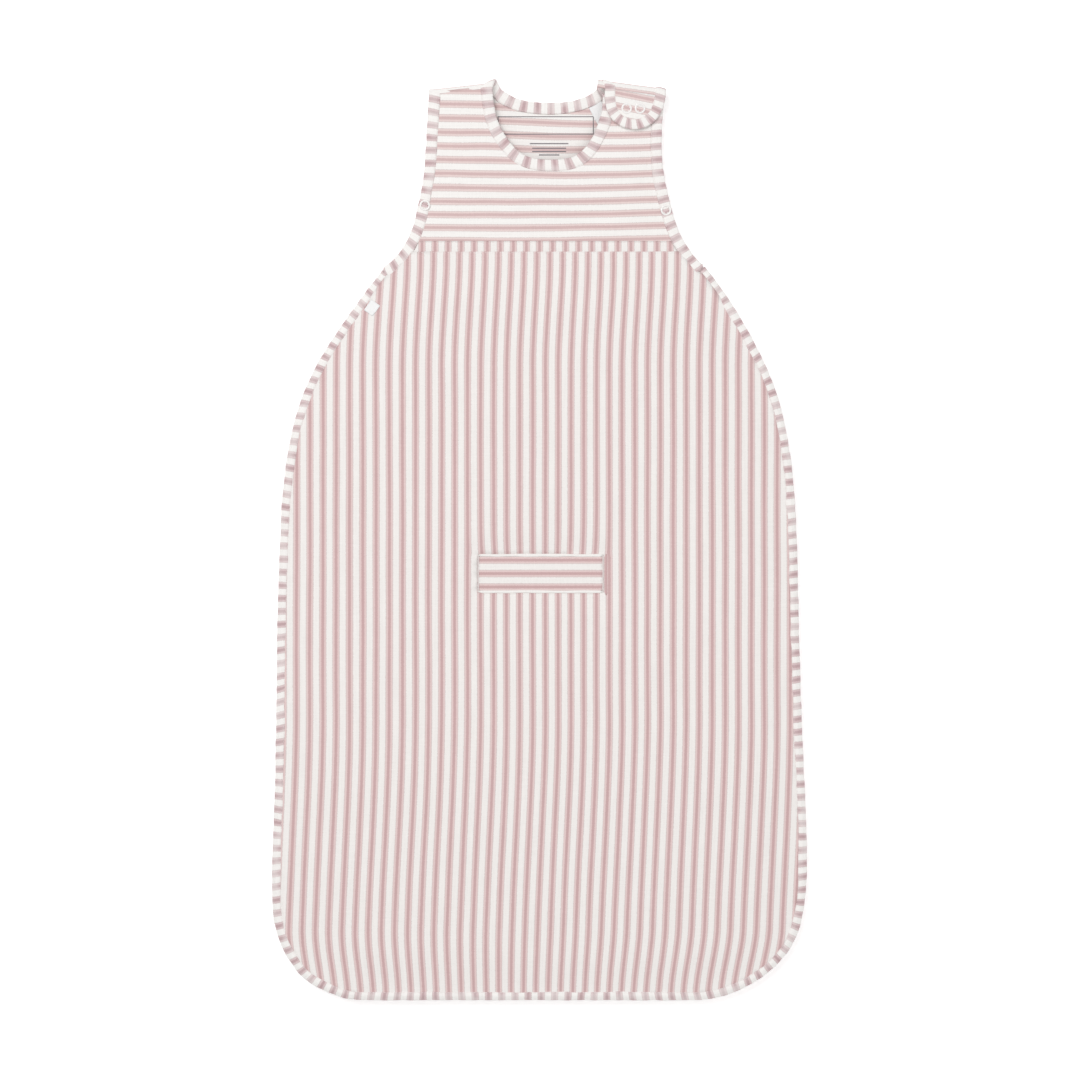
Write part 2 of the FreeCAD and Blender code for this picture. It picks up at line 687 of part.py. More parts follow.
def make_pull():
    """A flat pull with a bored eye that turns on the slider's pin, and a hole near its end."""
    width, thickness, length = 3.0, 1.0, 20.0
    z = ZIP_MID_Z - width / 2
    y = PULL_PIN_Y - thickness / 2
    eye = Part.makeCylinder(PULL_EYE_R, width, Vector(PULL_PIN_X, PULL_PIN_Y, z), Vector(0, 0, 1))
    blade = Part.makeBox(length, thickness, width, Vector(PULL_PIN_X - length, y, z))
    pull = joined(eye, blade)
    pull = pull.cut(
        Part.makeCylinder(PULL_BORE_R, width + 2, Vector(PULL_PIN_X, PULL_PIN_Y, z - 1), Vector(0, 0, 1))
    )
    hole = Part.makeCylinder(
        0.9, 4, Vector(PULL_PIN_X - length + 2.2, PULL_PIN_Y - 2, ZIP_MID_Z), Vector(0, 1, 0)
    )
    parts["zip_pull"] = pull.cut(hole)


# ---------------------------------------------------------------- harness vent
def vent_frame(height, low, high):
    window = rectangle(VENT_X, VENT_Y, VENT_WIDTH, height)
    slot = rectangle(VENT_X, VENT_Y, VENT_WIDTH - 2 * VENT_RIM, height - 2 * VENT_RIM)
    return raise_up(window, low, high).cut(tall(slot))


def make_vents():
    flap = rectangle(
        VENT_X, VENT_Y, VENT_WIDTH - 2 * VENT_FLAP_GAP, VENT_HEIGHT - 2 * VENT_FLAP_GAP
    )
    parts["vent_flap"] = raise_up(flap, FRONT_TOP_Z - VENT_FLAP_THICKNESS, FRONT_TOP_Z)
    parts["vent_facing_front"] = vent_frame(
        VENT_HEIGHT, FRONT_LINING_Z, FRONT_TOP_Z - VENT_FLAP_THICKNESS - 0.3
    )
    parts["vent_facing_back"] = vent_frame(BACK_VENT_HEIGHT, BACK_CLOTH_Z + 0.1, BACK_TOP_Z)
    tacks = []
    for side in (-1, 1):
        x = VENT_X + side * (VENT_WIDTH / 2 + 1.2)
        tack = rectangle(x, VENT_Y, 1.8, VENT_HEIGHT)
        tacks.append(raise_up(tack, FRONT_TOP_Z, FRONT_TOP_Z + 0.4))
    parts["vent_bartacks"] = Part.makeCompound(tacks)


# ---------------------------------------------------------------- press studs
def ring(x, y, z):
    """A prong ring: its domed side up if z is its foot."""
    body = Part.makeCylinder(RING_R, RING_T, Vector(x, y, z))
    return body.cut(Part.makeCylinder(RING_HOLE_R, RING_T + 2, Vector(x, y, z - 1)))


def socket(x, y, low, high, cavity):
    body = Part.makeCylinder(SOCKET_R, high - low, Vector(x, y, low))
    return body.cut(Part.makeCylinder(SOCKET_HOLE_R, cavity, Vector(x, y, low)))


def stud(x, y, low, base, post):
    body = Part.makeCylinder(STUD_R, base, Vector(x, y, low))
    return joined(body, Part.makeCylinder(STUD_POST_R, base + post, Vector(x, y, low)))


def make_snaps():
    under = [LEFT_SNAP, RIGHT_SNAP]
    group = Part.makeCompound
    parts["underarm_snap_rings_front"] = group([ring(x, y, ARM_FRONT_TOP_Z) for x, y in under])
    parts["underarm_snap_sockets"] = group(
        [socket(x, y, ARM_FRONT_LOW_Z - 2.6, ARM_FRONT_LOW_Z, 1.8) for x, y in under]
    )
    parts["underarm_snap_studs"] = group([stud(x, y, ARM_BACK_TOP_Z, 0.9, 3.1) for x, y in under])
    parts["underarm_snap_rings_back"] = group([ring(x, y, ARM_BACK_LOW_Z - RING_T) for x, y in under])
    parts["shoulder_snap_studs"] = group([stud(x, y, YOKE_FRONT_TOP_Z, 0.8, 1.2) for x, y in TAB_SNAPS])
    parts["shoulder_snap_stud_rings"] = group(
        [ring(x, y, YOKE_FRONT_LOW_Z - RING_T) for x, y in TAB_SNAPS]
    )
    parts["tab_snap_sockets"] = group([socket(x, y, TAB_LOW_Z - 1.7, TAB_LOW_Z, 1.3) for x, y in TAB_SNAPS])
    parts["tab_snap_rings"] = group([ring(x, y, TAB_TOP_Z) for x, y in TAB_SNAPS])


# ---------------------------------------------------------------- labels and print
PRINT_LEFT, PRINT_RIGHT = -37.0, 48.0
PRINT_TOP, PRINT_LOW = 374.6, 358.4
PRINT_LINE = 0.8


def make_print():
    """A plain ruled frame printed inside the neck, with ruled bars under it in place of words."""
    z = YOKE_BACK_TOP_Z
    middle_x, middle_y = (PRINT_LEFT + PRINT_RIGHT) / 2, (PRINT_TOP + PRINT_LOW) / 2
    width, height = PRINT_RIGHT - PRINT_LEFT, PRINT_TOP - PRINT_LOW
    frame = raise_up(rectangle(middle_x, middle_y, width, height), z, z + PRINT_T)
    hole = rectangle(middle_x, middle_y, width - 2 * PRINT_LINE, height - 2 * PRINT_LINE)
    bars = [frame.cut(tall(hole))]
    for drop, bar_width in ((8.0, 34.0), (12.0, 30.0), (15.0, 30.0), (18.0, 18.0)):
        bar = rectangle(middle_x + 3.0, PRINT_LOW - drop, bar_width, 1.0)
        bars.append(raise_up(bar, z, z + PRINT_T))
    parts["neck_print"] = Part.makeCompound(bars)


def make_labels():
    size_label = rectangle(0, 0, 13.0, 20.0)
    size_label.rotate(Vector(0, 0, 0), Vector(0, 0, 1), 28.0)
    size_label.translate(Vector(52.5, 379.0, 0))
    label = raise_up(size_label, YOKE_BACK_TOP_Z + PRINT_T, YOKE_BACK_TOP_Z + PRINT_T + LABEL_T)
    parts["size_label"] = label.cut(back_neck_tool)
    parts["side_label"] = raise_up(side_label_face(), SIDE_LABEL_Z, SIDE_LABEL_Z + LABEL_T)


SIDE_LABEL_Y = 207.0
SIDE_LABEL_WIDTH = 11.5
SIDE_LABEL_REACH = 9.5
SIDE_LABEL_Z = FRONT_TOP_Z + 0.3
SIDE_LABEL_GAP = 0.4  # from the binding


def side_label_frame():
    """The middle of the side label's sewn edge, with the directions along it and in from it."""
    inner = offset(left_side, EDGE_BINDING)
    first, last = inner.FirstParameter, inner.LastParameter
    u = min(
        (first + (last - first) * i / 2000 for i in range(2001)), key=lambda p: abs(inner.value(p).y - SIDE_LABEL_Y)
    )
    along = inner.tangent(u)[0]
    return inner.value(u), along, Vector(-along.y, along.x, 0)


def side_label_face():
    middle, along, inward = side_label_frame()
    middle = middle + inward * SIDE_LABEL_GAP
    a = middle - along * (SIDE_LABEL_WIDTH / 2)
    b = middle + along * (SIDE_LABEL_WIDTH / 2)
    corners = [a, b, b + inward * SIDE_LABEL_REACH, a + inward * SIDE_LABEL_REACH]
    return Part.Face(Part.makePolygon(corners + [a]))


def main():
    make_back()
    make_front()
    make_bindings()
    make_shoulders()
    make_tab()
    make_seams()
    make_zip()
    make_zip_stops()
    make_slider()
    make_pull()
    make_vents()
    make_snaps()
    make_print()
    make_labels()
    os.makedirs("parts", exist_ok=True)
    box = FreeCAD.BoundBox()
    for name, shape in parts.items():
        if not shape.isValid() or not shape.Solids:
            raise RuntimeError(f"{name} is not a valid solid")
        shape.exportStep(f"parts/{name}.step")
        box.add(shape.BoundBox)
    print("parts", len(parts), "box", box)


main()
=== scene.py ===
"""The looks of a baby's sleeping bag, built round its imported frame: jersey, bindings, zip, studs, labels."""

import math

import bmesh
import bpy
from mathutils import Matrix, Vector, noise
from mathutils.geometry import delaunay_2d_cdt
from mathutils.kdtree import KDTree


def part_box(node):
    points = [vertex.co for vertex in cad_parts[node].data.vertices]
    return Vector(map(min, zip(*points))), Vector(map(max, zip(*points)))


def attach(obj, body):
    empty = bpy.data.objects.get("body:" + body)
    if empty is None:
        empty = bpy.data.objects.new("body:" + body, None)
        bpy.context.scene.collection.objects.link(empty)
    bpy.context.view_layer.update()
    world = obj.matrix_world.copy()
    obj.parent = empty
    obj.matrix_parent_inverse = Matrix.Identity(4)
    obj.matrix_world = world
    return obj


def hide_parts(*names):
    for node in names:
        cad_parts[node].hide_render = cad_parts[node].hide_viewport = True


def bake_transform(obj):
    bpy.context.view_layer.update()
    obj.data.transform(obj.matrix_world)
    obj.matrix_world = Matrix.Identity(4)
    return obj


bl_info = {
    "name": "Baby Sleeping Bag",
    "version": (1, 0, 0),
    "blender": (4, 5, 0),
    "location": "View3D > Sidebar > Sleeping Bag",
    "description": "Builds a striped jersey sleeping bag round its packed frame",
    "category": "Add Mesh",
}

MM = 0.001
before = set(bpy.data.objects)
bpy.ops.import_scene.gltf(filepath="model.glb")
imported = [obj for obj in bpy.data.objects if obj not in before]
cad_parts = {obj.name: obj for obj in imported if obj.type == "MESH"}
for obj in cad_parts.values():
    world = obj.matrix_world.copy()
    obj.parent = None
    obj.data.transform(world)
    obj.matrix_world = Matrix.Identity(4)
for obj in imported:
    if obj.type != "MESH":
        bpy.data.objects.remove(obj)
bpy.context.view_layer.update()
UP = Vector((0, 0, 1))


# ---------------------------------------------------------------- settings
def linear(red, green, blue):
    """A colour in Blender's linear values, from the eight-bit values of a colour chart."""
    shares = [c / 255 for c in (red, green, blue)]
    return tuple(c / 12.92 if c <= 0.04045 else ((c + 0.055) / 1.055) ** 2.4 for c in shares)


def length(name, description, default):
    return bpy.props.FloatProperty(
        name=name, description=description, default=default, min=0.0, subtype="DISTANCE", unit="LENGTH"
    )


def colour(name, description, default):
    return bpy.props.FloatVectorProperty(
        name=name, description=description, default=default, size=3, min=0.0, max=1.0, subtype="COLOR"
    )


class BagSizes(bpy.types.PropertyGroup):
    """Sizes of the cloth and its needlework."""

    stripe_pitch: length("Stripe pitch", "From one stripe's middle to the next", 11.1 * MM)
    yoke_pitch: length("Yoke stripe pitch", "The same on the yoke, which is pulled longer", 11.5 * MM)
    cloth: length("Jersey", "Thickness of the jersey", 0.7 * MM)
    mesh_step: length("Mesh step", "Spacing of the panels' mesh", 4.0 * MM)
    crown: length("Crown", "How far the wadding lifts the skirt between its seams", 2.2 * MM)
    ripple: length("Ripple", "Height of the soft waves in the panels", 0.8 * MM)
    pucker: length("Pucker", "Height of the gathers beside the bindings", 0.8 * MM)
    binding_roll: length("Binding roll", "Unevenness of the bindings", 0.42 * MM)
    stitch: length("Stitch", "Length of a stitch", 2.6 * MM)
    stitch_gap: length("Stitch gap", "Gap between stitches", 0.7 * MM)
    thread: length("Thread", "Thickness of the sewing thread", 0.36 * MM)
    zip_pitch: length("Tooth pitch", "Spacing of the zip's teeth", 1.7 * MM)
    wale: length("Wale", "Width of a column of knitted loops", 1.15 * MM)


class BagColours(bpy.types.PropertyGroup):
    """Colours of the cloth, the zip and the studs."""

    stripe_deep: colour("Stripe, middle", "The dark line in each stripe", linear(205, 172, 172))
    stripe_mid: colour("Stripe", "The body of each stripe", linear(229, 205, 203))
    stripe_edge: colour("Stripe, edge", "The thin grey line at each side of a stripe", linear(217, 202, 200))
    ground: colour("Ground", "The jersey between the stripes", linear(243, 239, 236))
    pale_deep: colour("Yoke stripe, middle", "The same line on the stretched yoke", linear(213, 185, 184))
    pale_mid: colour("Yoke stripe", "The body of the yoke's stripes", linear(233, 213, 210))
    pale_ground: colour("Yoke ground", "The jersey between the yoke's stripes", linear(247, 244, 241))
    rib_deep: colour("Binding stripe, middle", "The same line on the bindings", linear(196, 168, 170))
    rib_mid: colour("Binding stripe", "The body of the bindings' stripes", linear(218, 195, 196))
    lining: colour("Lining", "The plain inner jersey", linear(236, 232, 224))
    wool: colour("Wadding", "The wool wadding", linear(232, 226, 211))
    thread: colour("Thread", "Sewing thread", linear(238, 228, 226))
    tape: colour("Zip tape", "The zip's woven tape", linear(233, 228, 226))
    tooth: colour("Zip teeth", "The zip's nylon teeth", linear(226, 219, 217))
    enamel: colour("Enamel", "Enamel of the studs and the slider", linear(243, 240, 238))
    steel: colour("Steel", "The zip's crimped stops", linear(190, 188, 186))
    label: colour("Label", "Satin of the labels", linear(246, 246, 246))
    ink: colour("Ink", "The print inside the neck", linear(128, 122, 126))
    floor: colour("Floor", "The table that the bag lies on", (0.95, 0.95, 0.95))


def sizes():
    return bpy.context.scene.bag_sizes


def colours():
    return bpy.context.scene.bag_colours


# ---------------------------------------------------------------- places read from the frame
def low(node):
    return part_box(node)[0]


def high(node):
    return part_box(node)[1]


SEAM_Y = low("front_yoke_outer").y
BAND_TOP_Y = high("front_seam_band").y
RAMP = 52 * MM  # the quilted skirt thins to the yoke over this length
FOOT_Y = low("back_edge_binding").y
TABLE_Z = low("back_skirt_outer").z

SKIRT_TOP_Z, YOKE_TOP_Z = high("front_skirt_outer").z, high("front_yoke_outer").z
FRONT_LINING_Z, YOKE_LINING_Z = low("front_flap_lining").z, low("front_yoke_lining").z
BACK_LINING_Z, YOKE_BACK_Z = high("back_skirt_lining").z, low("back_yoke_outer").z
YOKE_BACK_TOP_Z = high("back_yoke_lining").z
EDGE_FRONT = (low("front_flap_binding").z, high("front_flap_binding").z)
EDGE_BACK = (low("back_edge_binding").z, high("back_edge_binding").z)
ARM_FRONT = (high("underarm_snap_sockets").z, low("underarm_snap_rings_front").z)
ARM_BACK = (high("underarm_snap_rings_back").z, low("underarm_snap_studs").z)
TAB_BAND = (low("tab_binding").z, high("tab_binding").z)

EDGE_WIDTH, ARM_WIDTH, NECK_WIDTH, TAB_WIDTH = 8.0 * MM, 10.0 * MM, 10.4 * MM, 9.6 * MM


def outline_loops(node, lowest, highest, level=0.9):
    """The closed outlines of a CAD node's upward faces between two heights."""
    mesh = bmesh.new()
    mesh.from_mesh(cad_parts[node].data)
    bmesh.ops.remove_doubles(mesh, verts=mesh.verts, dist=1e-5)
    faces = {
        f for f in mesh.faces if f.normal.z > level and lowest <= f.calc_center_median().z <= highest
    }
    edges = [e for e in mesh.edges if sum(f in faces for f in e.link_faces) == 1]
    at = {}
    for edge in edges:
        for corner in edge.verts:
            at.setdefault(corner, []).append(edge)
    loops, used = [], set()
    for edge in edges:
        if edge in used:
            continue
        used.add(edge)
        start, here = edge.verts
        loop = [start.co.copy()]
        while here != start:
            loop.append(here.co.copy())
            onward = [e for e in at[here] if e not in used]
            if not onward:
                break
            used.add(onward[0])
            here = onward[0].other_vert(here)
        loops.append(loop)
    mesh.free()
    return sorted(loops, key=path_length, reverse=True)


def path_length(points):
    return sum((b - a).length for a, b in zip(points, points[1:]))


def long_sides(loop):
    """The two long sides of a strip's outline, the longer one first, cut at its four sharpest corners."""
    count = len(loop)

    def turn(i):
        return (loop[i] - loop[i - 1]).angle(loop[(i + 1) % count] - loop[i], 0.0)

    corners = sorted(sorted(range(count), key=turn)[-4:])
    sides = []
    for i, first in enumerate(corners):
        last = corners[(i + 1) % 4]
        span = (last - first) % count
        sides.append([loop[(first + k) % count] for k in range(span + 1)])
    return sorted(sides, key=path_length, reverse=True)[:2]


def evenly(points, step):
    """The same path with its points step apart."""
    total = path_length(points)
    count = max(2, round(total / step))
    placed, walked, k = [], 0.0, 0
    for i in range(count + 1):
        target = total * i / count
        while k < len(points) - 2 and walked + (points[k + 1] - points[k]).length < target:
            walked += (points[k + 1] - points[k]).length
            k += 1
        piece = points[k + 1] - points[k]
        placed.append(points[k] + piece * ((target - walked) / max(piece.length, 1e-9)))
    return placed


class Run:
    """A cut edge of the cloth: level places in order, with the direction into the cloth at each."""

    def __init__(self, points, inner, start, step=2.5 * MM):
        flat = [Vector((p.x, p.y, 0)) for p in points]
        if (flat[-1] - start).length < (flat[0] - start).length:
            flat.reverse()
        self.places = evenly(flat, step)
        self.step = path_length(self.places) / (len(self.places) - 1)
        near = KDTree(len(inner))
        for i, p in enumerate(inner):
            near.insert(Vector((p.x, p.y, 0)), i)
        near.balance()
        self.inward = []
        last = len(self.places) - 1
        for i, place in enumerate(self.places):
            along = (self.places[min(i + 1, last)] - self.places[max(i - 1, 0)]).normalized()
            side = Vector((-along.y, along.x, 0))
            toward = near.find(place)[0] - place
            self.inward.append(side if side.dot(toward) > 0 else -side)

    def inset(self, distance):
        return [p + n * distance for p, n in zip(self.places, self.inward)]


def edge_run(node, lowest, highest, start, outer_is_longer=True, level=0.9):
    sides = long_sides(outline_loops(node, lowest, highest, level)[0])
    if not outer_is_longer:
        sides.reverse()
    return Run(sides[0], sides[1], Vector(start))


TOP, LEFT = 1.0, -1.0
edge = edge_run("back_edge_binding", 0.1 * MM, 1.0, (LEFT, TOP, 0))
left_arm = edge_run("left_armhole_binding", ARM_FRONT[1] - 0.01 * MM, 1.0, (LEFT, 0, 0), False)
right_arm = edge_run("right_armhole_binding_front", 5 * MM, 1.0, (-LEFT, 0, 0), False)
right_arm_back = edge_run("right_armhole_binding_back", 1 * MM, 1.0, (-LEFT, 0, 0), False)
front_neck = edge_run(
    "neck_binding", ARM_FRONT[1] - 0.01 * MM, ARM_FRONT[1] + 0.01 * MM, (-LEFT, TOP, 0), False, 0.999
)
back_neck = edge_run(
    "neck_binding", ARM_BACK[1] - 0.01 * MM, ARM_BACK[1] + 0.01 * MM, (LEFT, TOP, 0), False, 0.999
)
back_neck.places, back_neck.inward = zip(
    *((p, n) for p, n in zip(back_neck.places, back_neck.inward) if p.x > -35.2 * MM)
)
tab_edge = edge_run("tab_binding", TAB_BAND[1] - 0.1 * MM, 1.0, (LEFT, TOP, 0))


# ---------------------------------------------------------------- shapes of the cloth
def smooth(t):
    t = min(max(t, 0.0), 1.0)
    return t * t * (3 - 2 * t)


def mixed(a, b, t):
    return a + (b - a) * t


class Nearest:
    """Distance from a place to the nearest of some lines."""

    def __init__(self, *lines):
        points = [p for line in lines for p in line]
        self.tree = KDTree(len(points))
        for i, p in enumerate(points):
            self.tree.insert(Vector((p.x, p.y, 0)), i)
        self.tree.balance()

    def to(self, x, y):
        return self.tree.find(Vector((x, y, 0)))[2]


def ramp(y, skirt, yoke):
    return mixed(skirt, yoke, smooth((y - SEAM_Y + RAMP) / RAMP))


def waves(x, y, seed):
    """Soft waves of cloth that lies loose, about -1 to 1."""
    broad = noise.noise(Vector((x * 13, y * 7, seed)))
    fine = noise.noise(Vector((x * 46, y * 22, seed + 5)))
    return broad + 0.35 * fine


vent_low, vent_high = low("vent_flap"), high("vent_flap")
VENT_X, VENT_Y = (vent_low.x + vent_high.x) / 2, (vent_low.y + vent_high.y) / 2
VENT_HALF = ((vent_high.x - vent_low.x) / 2 + 0.5 * MM, (vent_high.y - vent_low.y) / 2 + 0.5 * MM)


def from_vent(x, y, half=VENT_HALF):
    """Distance outside the harness vent's window."""
    dx = max(abs(x - VENT_X) - half[0], 0)
    dy = max(abs(y - VENT_Y) - half[1], 0)
    return math.hypot(dx, dy)


bound_edge = Nearest(edge.inset(EDGE_WIDTH))
bound_arms = Nearest(left_arm.inset(ARM_WIDTH), right_arm.inset(ARM_WIDTH))
bound_neck = Nearest(front_neck.inset(NECK_WIDTH))


def skirt_lift(x, y):
    """How far the wadding lifts the front skirt at a place."""
    size = sizes()
    seam = min(bound_edge.to(x, y), bound_arms.to(x, y))
    room = smooth(seam / (34 * MM)) * smooth((from_vent(x, y) + 2 * MM) / (24 * MM))
    room *= smooth((SEAM_Y - y) / (30 * MM))
    gathers = noise.noise(Vector((x * 78, y * 78, 3.1))) * math.exp(-seam / (9 * MM))
    calm = smooth((from_vent(x, y) + 1 * MM) / (8 * MM))
    return size.crown * room + calm * (size.ripple * waves(x, y, 1.3) * room + size.pucker * gathers)


def front_skirt_z(x, y):
    return ramp(y, SKIRT_TOP_Z, YOKE_TOP_Z + 0.75 * MM) + skirt_lift(x, y)


def front_yoke_z(x, y):
    size = sizes()
    seam = min(bound_arms.to(x, y), bound_neck.to(x, y), y - BAND_TOP_Y if y > BAND_TOP_Y else 0)
    gathers = noise.noise(Vector((x * 85, y * 85, 8.2))) * math.exp(-seam / (8 * MM))
    lift = smooth(seam / (20 * MM)) * (0.7 * MM + size.ripple * waves(x, y, 4.4))
    return YOKE_TOP_Z + lift + 0.45 * size.pucker * gathers


def back_skirt_z(x, y):
    return ramp(y, 0.0, YOKE_BACK_Z) + 0.5 * MM * smooth(1 + waves(x, y, 9.1)) * smooth((y - FOOT_Y) / 0.3)


def knit_column(x, y):
    """Place across the skirt's knit, in metres of unstretched cloth, with a stripe's middle at each pitch.

    The knit leans left toward the foot, is pulled a little wide, and is eased in at the foot's corners.
    """
    pitch = sizes().stripe_pitch
    foot_lean = 8 * MM * smooth((-150 * MM - y) / (250 * MM))
    top_lean = 4 * MM * smooth((y - 150 * MM) / (100 * MM))
    across = x + 6 * MM + foot_lean - top_lean
    eased = 1 - 0.04 * smooth((-340 * MM - y) / (65 * MM))
    near = (1.03 if across < 0 else 1.01) * eased
    far = near + 0.02
    third = 10 * pitch * near
    steps = min(abs(across), third) / near + max(abs(across) - third, 0) / far
    return math.copysign(steps, across)


def skirt_uv(x, y):
    """The skirt's stripes, which draw together above the vent and wander a little."""
    above = max(y - vent_high.y, 0)
    drawn = 0.03 * math.exp(-above / (12 * MM)) if above and abs(x - VENT_X) < 70 * MM else 0.0
    drawn *= 1 - smooth((abs(x - VENT_X) - 45 * MM) / (25 * MM))
    wander = 0.4 * MM * noise.noise(Vector((x * 30, y * 12, 17.5)))
    return knit_column(x + (x - VENT_X) * drawn + wander, y), y


def yoke_uv(x, y):
    """The yoke is cut across the knit, so its stripes lie level, and they sag a little at the middle."""
    size = sizes()
    sag = 1.4 * MM * (1 - (x / 0.11) ** 2) - 0.006 * x
    pulled = max(y - 0.3, 0) * 0.06 * smooth(0.5 - x / 0.12)
    wander = 0.55 * MM * noise.noise(Vector((x * 28, y * 34, 12.5)))
    return (y + sag - pulled + wander - 0.2649) * size.stripe_pitch / size.yoke_pitch, x


# ---------------------------------------------------------------- mesh makers
def keep_only(obj):
    bpy.ops.object.select_all(action="DESELECT")
    obj.select_set(True)
    bpy.context.view_layer.objects.active = obj


def modified(obj, kind, **values):
    """A modifier with these values, applied."""
    keep_only(obj)
    modifier = obj.modifiers.new(kind.title(), kind)
    for name, value in values.items():
        setattr(modifier, name, value)
    bpy.ops.object.modifier_apply(modifier=modifier.name)
    return obj


def new_piece(name, points, faces, uv=None):
    """A mesh object with smooth faces, and a UV for each point, in metres of cloth."""
    mesh = bpy.data.meshes.new(name)
    mesh.from_pydata(points, [], faces)
    if uv:
        layer = mesh.uv_layers.new(name="Cloth")
        for loop in mesh.loops:
            layer.data[loop.index].uv = uv[loop.vertex_index]
    mesh.shade_smooth()
    mesh.update()
    obj = bpy.data.objects.new(name, mesh)
    bpy.context.scene.collection.objects.link(obj)
    return obj


def thicken(obj, thickness):
    """Gives a cloth its thickness on the side away from its normals."""
    return modified(obj, "SOLIDIFY", thickness=thickness, offset=-1, use_even_offset=False)


def crossings(loop, y):
    """Where a level line cuts a closed outline, from left to right."""
    found = []
    for a, b in zip(loop, loop[1:] + loop[:1]):
        if (a.y > y) != (b.y > y):
            found.append(a.x + (b.x - a.x) * (y - a.y) / (b.y - a.y))
    return sorted(found)


# The line that the front's loose corner folds back along.
FOLD_START, FOLD_END = Vector((-0.207, 0.130)), Vector((0.107, -0.405))
FOLD_ALONG = (FOLD_END - FOLD_START).normalized()
FOLD_ACROSS = Vector((FOLD_ALONG.y, -FOLD_ALONG.x))
BEND_WIDTH = 20 * MM


def past_fold(p):
    """Distance of a place from the flap's fold line, positive on the flap."""
    return (Vector((p[0], p[1])) - FOLD_START).dot(FOLD_ACROSS)


def panel(name, outline, z_at, uv_at, step, window=None, folds=False, face_up=True):
    """A cut of cloth that fills an outline, with a window if one is given, and close rows at the fold."""
    loop = [p.to_2d() for p in evenly(outline + [outline[0]], step)[:-1]]
    points = list(loop)
    fixed = [(i, (i + 1) % len(loop)) for i in range(len(loop))]
    if window:
        x0, y0, x1, y1 = window
        corners = [Vector(c) for c in ((x0, y0, 0), (x1, y0, 0), (x1, y1, 0), (x0, y1, 0), (x0, y0, 0))]
        frame_points = []
        for a, b in zip(corners, corners[1:]):
            frame_points += [p.to_2d() for p in evenly([a, b], step)[:-1]]
        first = len(points)
        points += frame_points
        count = len(frame_points)
        fixed += [(first + i, first + (i + 1) % count) for i in range(count)]
    near = Nearest([p.to_3d() for p in points])
    rows = []
    if folds:
        length = (FOLD_END - FOLD_START).length
        for i in range(-1, 12):
            for k in range(-12, round(length / step) + 12):
                rows.append(FOLD_START + FOLD_ALONG * (k * step) + FOLD_ACROSS * (i * BEND_WIDTH / 10))
    y = min(p.y for p in loop) + step / 2
    top = max(p.y for p in loop)
    spans = {}

    def inside(p):
        key = round(p.y, 7)
        if key not in spans:
            spans[key] = crossings(loop, p.y)
        cuts = spans[key]
        if not any(a < p.x < b for a, b in zip(cuts[0::2], cuts[1::2])):
            return False
        if window and window[0] < p.x < window[2] and window[1] < p.y < window[3]:
            return False
        return near.to(p.x, p.y) > step * 0.55

    grid = []
    line = 0
    while y < top:
        cuts = crossings(loop, y)
        if cuts:
            x = step * (math.floor(cuts[0] / step) + (line % 2) / 2)
            while x < cuts[-1]:
                grid.append(Vector((x, y)))
                x += step
        y += step * 0.87
        line += 1
    if folds:
        grid = [p for p in grid if not -0.16 * BEND_WIDTH < past_fold(p) < 1.16 * BEND_WIDTH]
    points += [p for p in grid + rows if inside(p)]
    made = delaunay_2d_cdt(points, fixed, [list(range(len(loop)))], 1, 1e-7)
    spots, _, faces = made[:3]
    if window:
        hole = (window[0], window[1], window[2], window[3])
        kept = []
        for face in faces:
            cx = sum(spots[i].x for i in face) / 3
            cy = sum(spots[i].y for i in face) / 3
            if not (hole[0] < cx < hole[2] and hole[1] < cy < hole[3]):
                kept.append(face)
        faces = kept
    if not face_up:
        faces = [tuple(reversed(face)) for face in faces]
    solid = [(p.x, p.y, z_at(p.x, p.y)) for p in spots]
    return new_piece(name, solid, faces, [uv_at(p.x, p.y) for p in spots])


def flat_area(outline, window=None):
    """Area of a cut, in square metres."""
    loop = outline + [outline[0]]
    area = abs(sum(a.x * b.y - b.x * a.y for a, b in zip(loop, loop[1:]))) / 2
    if window:
        area -= (window[2] - window[0]) * (window[3] - window[1])
    return area


def flat_size(outline):
    xs, ys = [p.x for p in outline], [p.y for p in outline]
    return max(xs) - min(xs), max(ys) - min(ys)


def wrap_section(width, roll=2.8 * MM):
    """A binding's section as (distance from the edge, share of its height), from under side to top."""
    under = [(1.0, 0.2), (0.96, 0.1), (0.88, 0.02), (0.74, -0.04), (0.5, -0.06)]
    points = [(width * s, h) for s, h in under]
    for k in range(7):
        angle = math.radians(-90 + 30 * k)
        points.append((roll * (1 - math.cos(angle)), 0.5 + 0.5 * math.sin(angle)))
    over = [(0.42, 1.08), (0.56, 1.12), (0.7, 1.1), (0.82, 1.04), (0.91, 0.96), (0.97, 0.87), (1.0, 0.78)]
    return points + [(width * s, h) for s, h in over]


class Station:
    """One place along a strip: its edge, the way into the cloth, the way it faces, and its two levels."""

    def __init__(self, origin, inward, facing, low_level, high_level):
        self.origin, self.inward, self.facing = origin, inward, facing
        self.levels = (low_level, high_level)


def level_stations(run, base, lowest, highest, side=1):
    """Stations along a level run. side is 1 where its face looks up and -1 where it looks down."""
    return [
        Station(Vector((p.x, p.y, base)), n, Vector((0, 0, side)), lowest, highest)
        for p, n in zip(run.places, run.inward)
    ]


def turned_stations(first, last, outward, count=7, reach=0.0):
    """Stations that carry a strip round a half turn, to a level station that faces the other way."""
    found = []
    for k in range(1, count):
        share = k / count
        angle = math.pi * share
        facing = first.facing * math.cos(angle) + outward * math.sin(angle)
        levels = [mixed(a, b, share) for a, b in zip(first.levels, last.levels)]
        inward = first.inward.lerp(last.inward, share).normalized()
        origin = first.origin.lerp(last.origin, share) + outward * reach * math.sin(angle)
        found.append(Station(origin, inward, facing, *levels))
    return found


